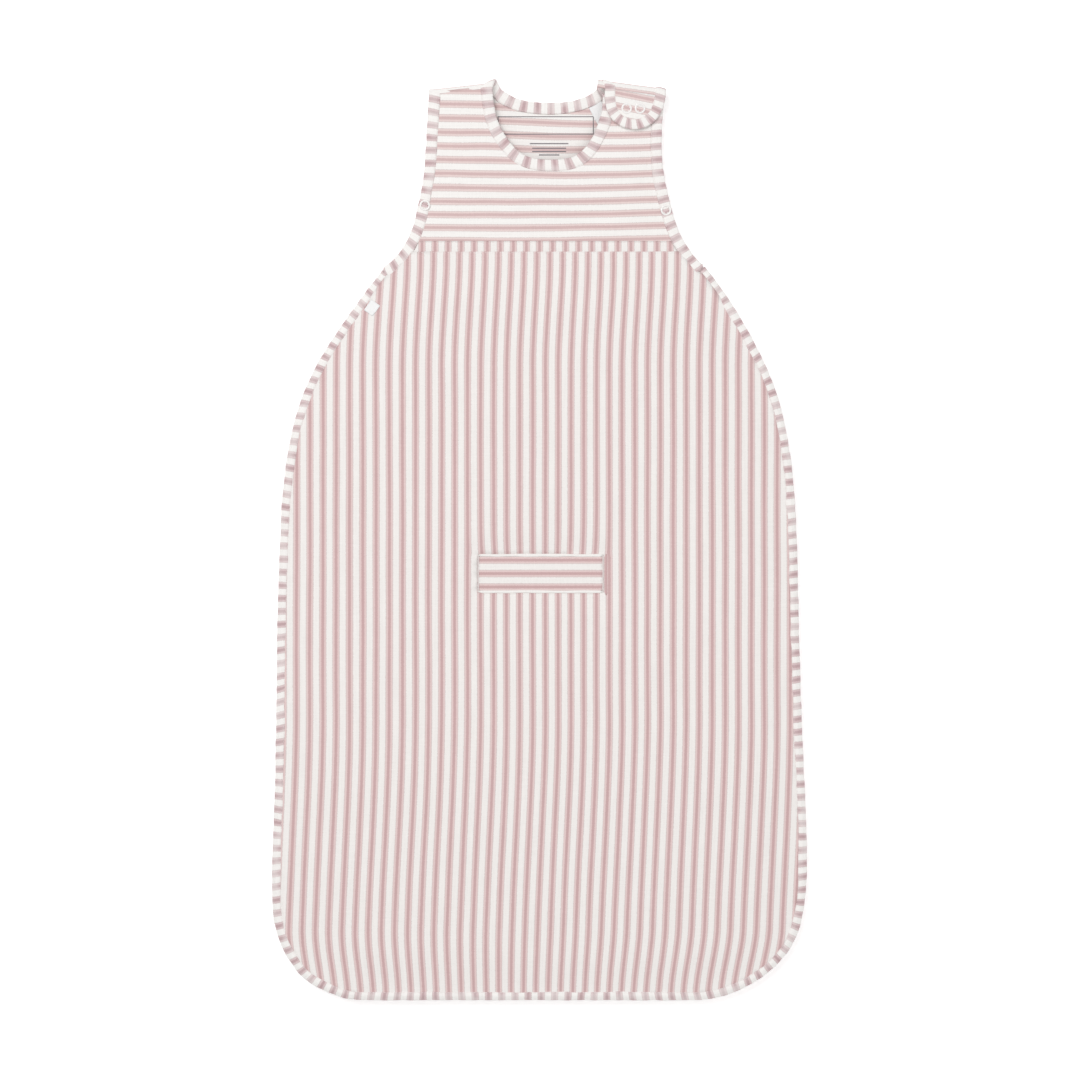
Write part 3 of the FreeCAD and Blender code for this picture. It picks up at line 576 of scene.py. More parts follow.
def strip(
    name, stations, section, thickness, seed, start_round=0.0, end_round=0.0, unit=1.0, lengthwise=False
):
    """A strip of cloth swept along stations, with a slightly uneven roll, and rounded ends where asked."""
    size = sizes()
    width = max(s for s, h in section)
    travel = [0.0]
    for a, b in zip(stations, stations[1:]):
        mid_a = a.origin + a.facing * sum(a.levels) / 2
        mid_b = b.origin + b.facing * sum(b.levels) / 2
        travel.append(travel[-1] + max((mid_b - mid_a).length, 0.2 * MM))
    across = [0.0]
    height = stations[0].levels[1] - stations[0].levels[0]
    for (s0, h0), (s1, h1) in zip(section, section[1:]):
        across.append(across[-1] + math.hypot(s1 - s0, (h1 - h0) * height))
    points, uv = [], []
    for station, far in zip(stations, travel):
        close = 1.0
        for gap, radius in ((far, start_round), (travel[-1] - far, end_round)):
            if radius and gap < radius:
                close = max(math.sqrt(max(1 - (1 - gap / radius) ** 2, 0)), 0.5)
        low_level, high_level = station.levels
        bulge = noise.noise(Vector((far * 95, seed, 0.5))) + 0.5 * noise.noise(Vector((far * 260, seed, 2.5)))
        swell = bulge * size.binding_roll
        sway = noise.noise(Vector((far * 42, seed, 9.5))) * 0.55 * MM
        scallop = noise.noise(Vector((far * 120, seed, 14.5))) * size.binding_roll
        skew = 0.35 * noise.noise(Vector((far * 16, seed, 21.5)))
        for (s, h), far_across in zip(section, across):
            inset = width / 2 + (s - width / 2) * close
            inset += sway * smooth(s / width) + scallop * (1 - smooth(s / width))
            level = mixed(low_level, high_level, 0.5 + (h - 0.5) * mixed(0.55, 1.0, close))
            level += swell * (h - 0.4) * (1 - smooth(s / width) * 0.6)
            points.append(station.origin + station.inward * inset + station.facing * level)
            if lengthwise:
                uv.append((far_across - across[-1] / 2, far))
            else:
                uv.append((far * unit + skew * (far_across - across[-1] / 2), far_across))
    count = len(section)
    faces = []
    for i in range(len(stations) - 1):
        for k in range(count - 1):
            a = i * count + k
            faces.append((a, a + 1, a + count + 1, a + count))
    a, b, c = points[0 + count - 2], points[count - 1], points[2 * count - 2]
    if (b - a).cross(c - a).dot(stations[0].facing) < 0:
        faces = [tuple(reversed(face)) for face in faces]
    obj = new_piece(name, points, faces, uv)
    thicken(obj, thickness)
    obj["strip_size"] = (across[-1], travel[-1])
    return obj


def stamped(name, template, placings):
    """One mesh of many copies of a small template, each turned and placed by a matrix."""
    points, faces = [], []
    corners = [v.co.copy() for v in template.data.vertices]
    polygons = [tuple(p.vertices) for p in template.data.polygons]
    for placing in placings:
        first = len(points)
        points += [placing @ c for c in corners]
        faces += [tuple(first + i for i in polygon) for polygon in polygons]
    return new_piece(name, points, faces)


def discard(obj):
    mesh = obj.data
    bpy.data.objects.remove(obj)
    bpy.data.meshes.remove(mesh)


def upright_frame(origin, along, facing):
    """A matrix whose X runs along and whose Z faces a direction."""
    x = along.normalized()
    z = (facing - x * facing.dot(x)).normalized()
    y = z.cross(x)
    turn = Matrix((x, y, z)).transposed()
    return Matrix.Translation(origin) @ turn.to_4x4()


def stitch_row(name, line, facing=UP, long=None, thread_size=None, gap=None):
    """A row of machine stitches that follows a line of places in space."""
    size = sizes()
    long = long or size.stitch
    gap = gap or size.stitch_gap
    thread_size = thread_size or size.thread
    bpy.ops.object.select_all(action="DESELECT")
    bpy.ops.mesh.primitive_uv_sphere_add(segments=6, ring_count=4, radius=0.5)
    template = bpy.context.object
    template.scale = (long, thread_size, thread_size * 0.8)
    bpy.ops.object.transform_apply(location=False, rotation=False, scale=True)
    places = evenly(line, long + gap)
    placings = []
    for a, b in zip(places, places[1:]):
        along = (b - a).normalized()
        placings.append(upright_frame((a + b) / 2, along, facing))
    obj = stamped(name, template, placings)
    discard(template)
    return obj


# ---------------------------------------------------------------- materials
def put(tree, kind, values=None, **settings):
    """A shader node with its settings, and its inputs set or linked by name or number."""
    made = tree.nodes.new(kind)
    for name, value in settings.items():
        setattr(made, name, value)
    for name, value in (values or {}).items():
        if isinstance(value, bpy.types.NodeSocket):
            tree.links.new(value, made.inputs[name])
        else:
            made.inputs[name].default_value = value
    return made


def maths(tree, operation, *values):
    return put(tree, "ShaderNodeMath", dict(enumerate(values)), operation=operation).outputs[0]


def fade(tree, value, start, end):
    """1 at start, 0 at end, and smooth between them."""
    values = {"Value": value, "From Min": start, "From Max": end, "To Min": 1.0, "To Max": 0.0}
    return put(tree, "ShaderNodeMapRange", values, interpolation_type="SMOOTHSTEP").outputs["Result"]


def blended(tree, factor, first, second, kind="MIX"):
    """Two colours mixed."""
    made = put(tree, "ShaderNodeMix", {"Factor": factor}, data_type="RGBA", blend_type=kind)
    for place, value in ((6, first), (7, second)):
        if isinstance(value, bpy.types.NodeSocket):
            tree.links.new(value, made.inputs[place])
        else:
            made.inputs[place].default_value = value
    return made.outputs[2]


def group(name, inputs, outputs):
    """A node group with its sockets; gives the tree, its input sockets and its output node."""
    tree = bpy.data.node_groups.new(name, "ShaderNodeTree")
    for label, kind, default in inputs:
        socket = tree.interface.new_socket(label, in_out="INPUT", socket_type=kind)
        if default is not None:
            socket.default_value = default
    for label, kind in outputs:
        tree.interface.new_socket(label, in_out="OUTPUT", socket_type=kind)
    entry = tree.nodes.new("NodeGroupInput")
    leave = tree.nodes.new("NodeGroupOutput")
    return tree, entry.outputs, leave.inputs


VECTOR, NUMBER, COLOUR = "NodeSocketVector", "NodeSocketFloat", "NodeSocketColor"


def knit_group():
    """Columns of knitted loops: their height, and the shade painted into the hollows between them."""
    tree, given, result = group(
        "knit loops",
        [("Place", VECTOR, None), ("Wale", NUMBER, 1.15 * MM)],
        [("Height", NUMBER), ("Painted shade", NUMBER)],
    )
    place = put(tree, "ShaderNodeSeparateXYZ", {0: given["Place"]}).outputs
    column = maths(tree, "DIVIDE", place["X"], given["Wale"])
    course = maths(tree, "DIVIDE", place["Y"], maths(tree, "MULTIPLY", given["Wale"], 0.72))
    fraction = maths(tree, "SUBTRACT", maths(tree, "FRACT", column), 0.5)
    side = maths(tree, "MULTIPLY", maths(tree, "ABSOLUTE", fraction), 2.0)
    slant = maths(tree, "SUBTRACT", course, maths(tree, "MULTIPLY", side, 0.62))
    leg = maths(tree, "COSINE", maths(tree, "MULTIPLY", slant, 2 * math.pi))
    leg = maths(tree, "MULTIPLY_ADD", leg, 0.5, 0.5)
    rib = maths(tree, "SUBTRACT", 1.0, maths(tree, "POWER", side, 3.0))
    height = maths(tree, "ADD", maths(tree, "MULTIPLY", rib, 0.6), maths(tree, "MULTIPLY", leg, 0.4))
    tree.links.new(height, result["Height"])
    # Painted shade: the lower the loops lie, the darker the colour is made there.
    hollow_shade = maths(tree, "SUBTRACT", 1.0, height)
    tree.links.new(maths(tree, "POWER", hollow_shade, 1.6), result["Painted shade"])
    return tree


def stripe_group():
    """A yarn-dyed stripe: a dark line in its middle, a paler body, and a thin greyer line at each side."""
    shades = [("Deep", COLOUR, None), ("Body", COLOUR, None), ("Rim", COLOUR, None), ("Ground", COLOUR, None)]
    tree, given, result = group(
        "yarn-dyed stripe",
        [("Place", VECTOR, None), ("Pitch", NUMBER, 11.1 * MM), *shades],
        [("Color", COLOUR), ("Stripe", NUMBER)],
    )
    place = put(tree, "ShaderNodeSeparateXYZ", {0: given["Place"]}).outputs
    turns = maths(tree, "ADD", maths(tree, "DIVIDE", place["X"], given["Pitch"]), 0.5)
    off = maths(tree, "ABSOLUTE", maths(tree, "SUBTRACT", maths(tree, "FRACT", turns), 0.5))
    distance = maths(tree, "MULTIPLY", off, given["Pitch"])
    loops = put(
        tree, "ShaderNodeTexNoise", {"Vector": given["Place"], "Scale": 850.0, "Detail": 2.0}
    ).outputs[0]
    ragged = maths(tree, "MULTIPLY", maths(tree, "SUBTRACT", loops, 0.5), 1.1 * MM)
    distance = maths(tree, "ADD", distance, ragged)
    rim = fade(tree, distance, 2.85 * MM, 3.35 * MM)
    body = fade(tree, distance, 2.3 * MM, 2.85 * MM)
    deep = fade(tree, distance, 0.75 * MM, 1.6 * MM)
    color = blended(tree, rim, given["Ground"], given["Rim"])
    color = blended(tree, body, color, given["Body"])
    color = blended(tree, deep, color, given["Deep"])
    tree.links.new(color, result["Color"])
    tree.links.new(rim, result["Stripe"])
    return tree


def yarn_group():
    """Small unevenness of spun cotton: slubs along the courses, and a short fuzz."""
    tree, given, result = group(
        "spun yarn", [("Place", VECTOR, None), ("Amount", NUMBER, 0.05)], [("Tone", NUMBER), ("Fuzz", NUMBER)]
    )
    long_place = put(
        tree, "ShaderNodeMapping", {"Vector": given["Place"], "Scale": (70.0, 950.0, 1.0)}
    ).outputs[0]
    slub = put(tree, "ShaderNodeTexNoise", {"Vector": long_place, "Scale": 1.0, "Detail": 2.0}).outputs[0]
    wale_place = put(
        tree, "ShaderNodeMapping", {"Vector": given["Place"], "Scale": (620.0, 28.0, 1.0)}
    ).outputs[0]
    streak = put(tree, "ShaderNodeTexNoise", {"Vector": wale_place, "Scale": 1.0, "Detail": 1.0}).outputs[0]
    fuzz = put(
        tree, "ShaderNodeTexNoise", {"Vector": given["Place"], "Scale": 2600.0, "Detail": 3.0}
    ).outputs[0]
    pile = put(
        tree, "ShaderNodeTexNoise", {"Vector": given["Place"], "Scale": 1000.0, "Detail": 1.0}
    ).outputs[0]
    uneven = maths(tree, "SUBTRACT", maths(tree, "ADD", maths(tree, "ADD", slub, streak), pile), 1.5)
    tone = maths(tree, "ADD", maths(tree, "MULTIPLY", uneven, given["Amount"]), 1.0)
    tree.links.new(tone, result["Tone"])
    tree.links.new(fuzz, result["Fuzz"])
    return tree


GROUPS = {}


def grouped(tree, name, values):
    """One of the three cloth groups, placed in a material."""
    makers = {"knit": knit_group, "stripe": stripe_group, "yarn": yarn_group}
    if name not in GROUPS:
        GROUPS[name] = makers[name]()
    return put_group(tree, GROUPS[name], values)


def put_group(tree, made, values):
    placed = tree.nodes.new("ShaderNodeGroup")
    placed.node_tree = made
    for name, value in values.items():
        if isinstance(value, bpy.types.NodeSocket):
            tree.links.new(value, placed.inputs[name])
        else:
            placed.inputs[name].default_value = value
    return placed.outputs


def opaque(rgb):
    return (*rgb, 1.0)


def new_material(name, **constants):
    """A Principled material; gives it, its tree and the shader's inputs."""
    material = bpy.data.materials.new(name)
    material.use_nodes = True
    tree = material.node_tree
    shader = tree.nodes["Principled BSDF"]
    for label, value in constants.items():
        shader.inputs[label.replace("_", " ")].default_value = value
    return material, tree, shader.inputs


def cloth_place(tree):
    return put(tree, "ShaderNodeUVMap", uv_map="Cloth").outputs[0]


def knitted(name, ground, striped=True, relief=0.22, hollow_shade=0.10, deep=None, body=None, paler=0.0):
    """Jersey in the cloth's own UV, striped or plain, with its loops as fine relief, shade painted into the
    hollows between them, and paler patches.
    """
    shade = colours()
    material, tree, inputs = new_material(
        name, Roughness=0.92, Sheen_Weight=0.12, Sheen_Roughness=0.55, Specular_IOR_Level=0.18
    )
    place = cloth_place(tree)
    yarn = grouped(tree, "yarn", {"Place": place, "Amount": 0.085})
    knit = grouped(tree, "knit", {"Place": place, "Wale": sizes().wale})
    color = opaque(ground)
    if striped:
        values = {
            "Place": place,
            "Pitch": sizes().stripe_pitch,
            "Deep": opaque(deep or shade.stripe_deep),
            "Body": opaque(body or shade.stripe_mid),
            "Rim": opaque(shade.stripe_edge),
            "Ground": color,
        }
        color = grouped(tree, "stripe", values)["Color"]
        patch = put(tree, "ShaderNodeTexNoise", {"Vector": place, "Scale": 55.0, "Detail": 1.0}).outputs[0]
        share = maths(tree, "MULTIPLY", fade(tree, patch, 0.36, 0.62), paler)
        color = blended(tree, share, color, opaque(ground))
    # Painted shade: the base colour is darkened in the hollows between the loops, then given the yarn's uneven
    # tone.
    dark = maths(tree, "MULTIPLY_ADD", knit["Painted shade"], -hollow_shade, 1.0)
    tone = maths(tree, "MULTIPLY", dark, yarn["Tone"])
    tint = put(tree, "ShaderNodeCombineColor", {0: tone, 1: tone, 2: tone}).outputs[0]
    tree.links.new(blended(tree, 1.0, color, tint, "MULTIPLY"), inputs["Base Color"])
    height = maths(tree, "MULTIPLY_ADD", yarn["Fuzz"], 0.35, knit["Height"])
    bump = put(tree, "ShaderNodeBump", {"Strength": relief, "Distance": 0.35 * MM, "Height": height})
    tree.links.new(bump.outputs[0], inputs["Normal"])
    return material


def grainy(name, base, scale, relief, distance, tone=0.05, stretch=(1, 1, 1), **constants):
    """A finish on Object coordinates with a fine grain in its colour and relief."""
    material, tree, inputs = new_material(name, **constants)
    place = put(tree, "ShaderNodeTexCoord").outputs["Object"]
    place = put(tree, "ShaderNodeMapping", {"Vector": place, "Scale": stretch}).outputs[0]
    grain = put(tree, "ShaderNodeTexNoise", {"Vector": place, "Scale": scale, "Detail": 4.0}).outputs[0]
    level = maths(tree, "MULTIPLY_ADD", maths(tree, "SUBTRACT", grain, 0.5), tone, 1.0)
    tint = put(tree, "ShaderNodeCombineColor", {0: level, 1: level, 2: level}).outputs[0]
    tree.links.new(blended(tree, 1.0, opaque(base), tint, "MULTIPLY"), inputs["Base Color"])
    bump = put(tree, "ShaderNodeBump", {"Strength": relief, "Distance": distance, "Height": grain})
    tree.links.new(bump.outputs[0], inputs["Normal"])
    return material


def twilled(name, base, scale, relief, **constants):
    """A woven tape or ribbon in its own UV: fine slanting ribs."""
    material, tree, inputs = new_material(name, **constants)
    place = cloth_place(tree)
    ribs = put(
        tree,
        "ShaderNodeTexWave",
        {"Vector": place, "Scale": scale, "Distortion": 0.4, "Detail": 1.0},
        bands_direction="DIAGONAL",
    ).outputs["Fac"]
    level = maths(tree, "MULTIPLY_ADD", ribs, 0.08, 0.94)
    tint = put(tree, "ShaderNodeCombineColor", {0: level, 1: level, 2: level}).outputs[0]
    tree.links.new(blended(tree, 1.0, opaque(base), tint, "MULTIPLY"), inputs["Base Color"])
    bump = put(tree, "ShaderNodeBump", {"Strength": relief, "Distance": 0.2 * MM, "Height": ribs})
    tree.links.new(bump.outputs[0], inputs["Normal"])
    return material


MADE = {}


def finish_of(name):
    """A named finish of the bag, made the first time that it is asked for."""
    shade = colours()
    makers = {
        "skirt": lambda: knitted("striped jersey", shade.ground),
        "yoke": lambda: knitted(
            "striped yoke jersey", shade.pale_ground, deep=shade.pale_deep, body=shade.pale_mid
        ),
        "binding": lambda: knitted(
            "binding jersey",
            shade.pale_ground,
            hollow_shade=0.08,
            deep=shade.rib_deep,
            body=shade.rib_mid,
            paler=0.42,
        ),
        "plain": lambda: knitted("plain jersey", shade.pale_ground, striped=False),
        "lining": lambda: knitted("lining jersey", shade.lining, striped=False),
        "wool": lambda: grainy(
            "wool wadding", shade.wool, 420.0, 0.9, 0.8 * MM, 0.22, Roughness=0.98, Sheen_Weight=0.3
        ),
        "tape": lambda: twilled("zip tape", shade.tape, 900.0, 0.5, Roughness=0.8, Sheen_Weight=0.1),
        "teeth": lambda: grainy(
            "nylon teeth", shade.tooth, 900.0, 0.08, 0.1 * MM, 0.05, Roughness=0.36, Specular_IOR_Level=0.5
        ),
        "enamel": lambda: grainy(
            "white enamel", shade.enamel, 700.0, 0.05, 0.1 * MM, 0.03, Roughness=0.3, Coat_Weight=0.3,
            Coat_Roughness=0.12,
        ),
        "steel": lambda: grainy(
            "tinned stop", shade.steel, 800.0, 0.12, 0.1 * MM, 0.12, (1, 6, 1), Metallic=0.85, Roughness=0.34
        ),
        "satin": lambda: twilled(
            "label satin", shade.label, 1500.0, 0.25, Roughness=0.5, Sheen_Weight=0.15, Anisotropic=0.3
        ),
        "ink": lambda: grainy("print ink", shade.ink, 1800.0, 0.1, 0.05 * MM, 0.35, Roughness=0.75),
        "thread": lambda: grainy(
            "sewing thread", shade.thread, 2400.0, 0.4, 0.1 * MM, 0.1, Roughness=0.6, Sheen_Weight=0.1
        ),
    }
    if name not in MADE:
        MADE[name] = makers[name]()
    return MADE[name]


def dress(obj, finish, body=None, nodes=()):
    """Gives a new piece its finish, hides the CAD nodes that it stands for, and hangs it on its body's empty;
    a piece for the bend or the strap only has its placing baked in.
    """
    obj.data.materials.clear()
    obj.data.materials.append(finish_of(finish))
    if nodes:
        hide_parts(*nodes)
    if body == "bend":
        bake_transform(obj)
    elif body == "strap":
        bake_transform(obj)
    elif body:
        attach(obj, body)
    return obj


def refinish(node, finish):
    """A better material on a CAD node that keeps its shape."""
    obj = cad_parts[node]
    for slot in obj.material_slots:
        slot.material = finish_of(finish)
    return obj


# ---------------------------------------------------------------- lines that several pieces share
def tidy_loop(loop):
    """An outline without spikes that turn straight back."""
    kept = list(loop)
    changed = True
    while changed:
        changed = False
        for i in range(len(kept)):
            before = kept[i] - kept[i - 1]
            after = kept[(i + 1) % len(kept)] - kept[i]
            if before.length < 1e-7 or before.angle(after, 0.0) > math.radians(160):
                del kept[i]
                changed = True
                break
    return kept


def grown(outline, distance, step=3 * MM):
    """An outline moved outwards, so that the cloth runs on under its bindings."""
    loop = [Vector((p.x, p.y, 0)) for p in evenly(outline + [outline[0]], step)[:-1]]
    turning = sum(a.x * b.y - b.x * a.y for a, b in zip(loop, loop[1:] + loop[:1]))
    side = 1 if turning > 0 else -1
    moved = []
    for i, p in enumerate(loop):
        along = (loop[(i + 1) % len(loop)] - loop[i - 1]).normalized()
        moved.append(p + Vector((along.y, -along.x, 0)) * side * distance)
    return moved


UNDERLAP = 2.5 * MM
skirt_cut = grown(outline_loops("back_skirt_outer", -1, 1)[0], UNDERLAP)
front_yoke_cut = grown(tidy_loop(outline_loops("front_yoke_outer", YOKE_TOP_Z - 0.1 * MM, 1)[0]), UNDERLAP)
back_yoke_cut = grown(tidy_loop(outline_loops("back_yoke_outer", -1, 1)[0]), UNDERLAP)
band_cut = outline_loops("front_seam_band", YOKE_TOP_Z + 0.5 * MM, 1)[0]
wadding_cut = [Vector((p.x, min(p.y, SEAM_Y - 24 * MM), 0)) for p in skirt_cut]
WINDOW = (VENT_X - VENT_HALF[0], VENT_Y - VENT_HALF[1], VENT_X + VENT_HALF[0], VENT_Y + VENT_HALF[1])
SLOT = (VENT_X - 52 * MM, VENT_Y - 6 * MM, VENT_X + 52 * MM, VENT_Y + 6 * MM)

LEFT_TURN_Z = (low("left_shoulder_seam").z + high("left_shoulder_seam").z) / 2
RIGHT_TURN_Z = (low("shoulder_fold").z + high("shoulder_fold").z) / 2
# The ways out over the two shoulders, square to their turns.
RIGHT_OUT = Vector((0.1347881, 0.9908745, 0))
LEFT_OUT = Vector((-0.1120, 0.9937, 0))


def shoulder_drop(x, y):
    """How far a yoke's cloth dips where it runs on under the left shoulder's turn."""
    edge_y = left_arm.places[-1].y + (x - left_arm.places[-1].x) * 0.1127
    return 0.9 * MM * smooth((y - edge_y) / (1.5 * MM)) if x < 0 else 0.0


def turned_down(run, base, levels):
    """Stations of a back strip, which faces down, from its height above the table."""
    return level_stations(run, base, base - levels[1], base - levels[0], -1)


def facing_up(run, base, levels):
    return level_stations(run, base, levels[0] - base, levels[1] - base, 1)


left_arm_line = facing_up(left_arm, LEFT_TURN_Z, ARM_FRONT)
left_arm_back = turned_down(left_arm, LEFT_TURN_Z, ARM_BACK)[::-1]
left_arm_line += turned_stations(left_arm_line[-1], left_arm_back[0], LEFT_OUT, 8, 0.6 * MM) + left_arm_back
neck_line = facing_up(front_neck, LEFT_TURN_Z, ARM_FRONT)
neck_back_line = turned_down(back_neck, LEFT_TURN_Z, ARM_BACK)
neck_line += turned_stations(neck_line[-1], neck_back_line[0], LEFT_OUT, 10, 3.6 * MM) + neck_back_line
right_front_line = facing_up(right_arm, LEFT_TURN_Z, ARM_FRONT)
right_back_line = turned_down(right_arm_back, RIGHT_TURN_Z, ARM_BACK)
tab_line = facing_up(tab_edge, RIGHT_TURN_Z, TAB_BAND)
strap_start = turned_down(back_neck, RIGHT_TURN_Z, ARM_BACK)[-1]
strap_end = right_back_line[-1]
strap_line = [strap_start, *turned_stations(strap_start, tab_line[0], RIGHT_OUT, 12, 1.2 * MM), *tab_line]
strap_line += [*turned_stations(tab_line[-1], strap_end, RIGHT_OUT, 12), strap_end]
front_edge_line = level_stations(edge, 0.0, *EDGE_FRONT)
for station_ in front_edge_line:
    slope = SKIRT_TOP_Z - ramp(station_.origin.y, SKIRT_TOP_Z, YOKE_TOP_Z)
    station_.levels = tuple(level - slope for level in station_.levels)
back_edge_line = level_stations(edge, 20 * MM, 20 * MM - EDGE_BACK[1], 20 * MM - EDGE_BACK[0], -1)


def lie_over(stations, reach, lift):
    """Lifts a strip's first stretch, where it lies over the end of the skirt's binding."""
    for i, station in enumerate(stations):
        far = (station.origin - stations[0].origin).length
        if far > reach:
            break
        extra = lift * smooth(1 - far / reach)
        station.levels = (station.levels[0] - extra * 0.3, station.levels[1] + extra)


lie_over(left_arm_line, 16 * MM, 1.3 * MM)
lie_over(left_arm_line[::-1], 16 * MM, 0.8 * MM)
lie_over(right_front_line, 16 * MM, 1.3 * MM)
lie_over(right_back_line, 16 * MM, 0.8 * MM)


def zip_span():
    """The part of the skirt's edge that the zip runs along."""
    start_y, end_x = high("zip_chain_front").y, high("zip_chain_back").x
    start_y = max(start_y, high("zip_chain_flap").y)
    first = next(i for i, p in enumerate(edge.places) if p.y < start_y)
    last = max(i for i, p in enumerate(edge.places) if p.x < end_x and p.y < FOOT_Y / 2)
    return first, last


ZIP_FIRST, ZIP_LAST = zip_span()


def rolled(name, first, last, base, outward, radius, uv_turn, thickness):
    """Cloth that runs round a shoulder, from the top of the front to the underside of the back."""
    steps, columns = 14, max(4, round((last - first).length / (3 * MM)))
    points, faces, uv = [], [], []
    for i in range(steps + 1):
        angle = math.pi * i / steps
        for k in range(columns + 1):
            place = first.lerp(last, k / columns)
            facing = UP * math.cos(angle) + outward * math.sin(angle)
            points.append(Vector((place.x, place.y, base)) + facing * radius)
            along = radius * angle
            uv.append((uv_turn + along, (last - first).length * k / columns))
    for i in range(steps):
        for k in range(columns):
            a = i * (columns + 1) + k
            faces.append((a, a + 1, a + columns + 2, a + columns + 1))
    if (points[1] - points[0]).cross(points[columns + 1] - points[0]).z < 0:
        faces = [tuple(reversed(face)) for face in faces]
    return thicken(new_piece(name, points, faces, uv), thickness)


def lay_sheet(obj, outline, window=None):
    """Works out a panel's flat size and area, but does nothing with them."""
    size, area = flat_size(outline), flat_area(outline, window)
    return obj


def wrap_sheet(obj):
    """Does nothing with a strip; gives it back as it is."""
    return obj


def row_on(stations, inset, share, lift=0.1 * MM):
    """A line along stations, at a distance from the edge and a share of the height."""
    out = 1 if share > 0.5 else -1
    return [
        s.origin + s.inward * inset + s.facing * (mixed(s.levels[0], s.levels[1], share) + out * lift)
        for s in stations
    ]


# ---------------------------------------------------------------- pieces
class BAG_OT_front_skirt(bpy.types.Operator):
    """The front skirt: striped jersey, wadding and lining, with close rows along the line where the corner
    folds back
    """

    bl_idname = "bag.front_skirt"
    bl_label = "Front skirt"

    def execute(self, context):
        size = sizes()
        cloth = panel("front_skirt_jersey", skirt_cut, front_skirt_z, skirt_uv, size.mesh_step, WINDOW, True)
        thicken(cloth, size.cloth)
        dress(cloth, "skirt", "bend", ("front_skirt_outer", "front_flap_outer"))
        lay_sheet(cloth, skirt_cut, WINDOW)

        def wadding_z(x, y):
            return front_skirt_z(x, y) - size.cloth - 0.35 * MM

        wadding = panel("front_wadding", wadding_cut, wadding_z, skirt_uv, 7 * MM, WINDOW, True)
        thicken(wadding, 2.0 * MM)
        dress(wadding, "wool", "bend", ("front_skirt_padding", "front_flap_padding"))

        def lining_z(x, y):
            sag = 0.25 * MM * waves(x, y, 6.6) * smooth(bound_edge.to(x, y) / (20 * MM))
            return ramp(y, FRONT_LINING_Z, YOKE_LINING_Z) + 0.1 * MM + sag

        lining = panel("front_lining", skirt_cut, lining_z, skirt_uv, 7 * MM, WINDOW, True, face_up=False)
        thicken(lining, size.cloth)
        dress(lining, "lining", "bend", ("front_skirt_lining", "front_flap_lining"))
        lay_sheet(lining, skirt_cut, WINDOW)
        return {"FINISHED"}


def band_z(y, base, out):
    """Height of a seam band's rounded section above its yoke."""
    share = min(max((y - SEAM_Y) / (BAND_TOP_Y - SEAM_Y), 0.0), 1.0)
    return base + out * 0.95 * MM * (0.1 + 0.9 * math.sin(math.pi * share) ** 0.35 if 0 < share < 1 else 0.1)


class BAG_OT_front_yoke(bpy.types.Operator):
    """The front yoke: its striped jersey, its facing and the band over its seam"""

    bl_idname = "bag.front_yoke"
    bl_label = "Front yoke"

    def execute(self, context):
        size = sizes()

        def top(x, y):
            tucked = 0.7 * MM * smooth((SEAM_Y + 3 * MM - y) / (2 * MM))
            return front_yoke_z(x, y) - tucked - shoulder_drop(x, y)

        cloth = panel("front_yoke_jersey", front_yoke_cut, top, yoke_uv, size.mesh_step * 0.8)
        thicken(cloth, size.cloth)
        dress(cloth, "yoke", "bag", ("front_yoke_outer",))
        lay_sheet(cloth, front_yoke_cut)

        def under(x, y):
            return YOKE_LINING_Z + 0.05 * MM

        facing = panel("front_yoke_facing", front_yoke_cut, under, yoke_uv, 7 * MM, face_up=False)
        thicken(facing, size.cloth)
        dress(facing, "yoke", "bag", ("front_yoke_lining",))
        lay_sheet(facing, front_yoke_cut)

        band = panel(
            "front_band",
            band_cut,
            lambda x, y: band_z(y, YOKE_TOP_Z + 0.1 * MM, 1),
            lambda x, y: (x * 0.965, y),
            2 * MM,
        )
        thicken(band, size.cloth * 0.8)
        dress(band, "skirt", "bag", ("front_seam_band",))
        lay_sheet(band, band_cut)
        return {"FINISHED"}


class BAG_OT_back_skirt(bpy.types.Operator):
    """The back skirt: its striped jersey on the table, its wadding and its lining"""

    bl_idname = "bag.back_skirt"
    bl_label = "Back skirt"

    def execute(self, context):
        size = sizes()
        cloth = panel("back_skirt_jersey", skirt_cut, back_skirt_z, skirt_uv, 6 * MM, SLOT, face_up=False)
        thicken(cloth, size.cloth)
        dress(cloth, "skirt", "bag", ("back_skirt_outer",))
        lay_sheet(cloth, skirt_cut, SLOT)

        def wadding_z(x, y):
            return ramp(y, 3.3 * MM, 3.0 * MM)

        wadding = panel("back_wadding", wadding_cut, wadding_z, skirt_uv, 9 * MM, SLOT)
        thicken(wadding, 2.2 * MM)
        dress(wadding, "wool", "bag", ("back_skirt_padding",))

        def lining_z(x, y):
            rise = 0.3 * MM * waves(x, y, 2.6) * smooth(bound_edge.to(x, y) / (20 * MM))
            return ramp(y, BACK_LINING_Z, YOKE_BACK_TOP_Z) + rise

        lining = panel("back_lining", skirt_cut, lining_z, skirt_uv, 6 * MM, SLOT)
        thicken(lining, size.cloth)
        dress(lining, "lining", "bag", ("back_skirt_lining",))
        lay_sheet(lining, skirt_cut, SLOT)
        return {"FINISHED"}


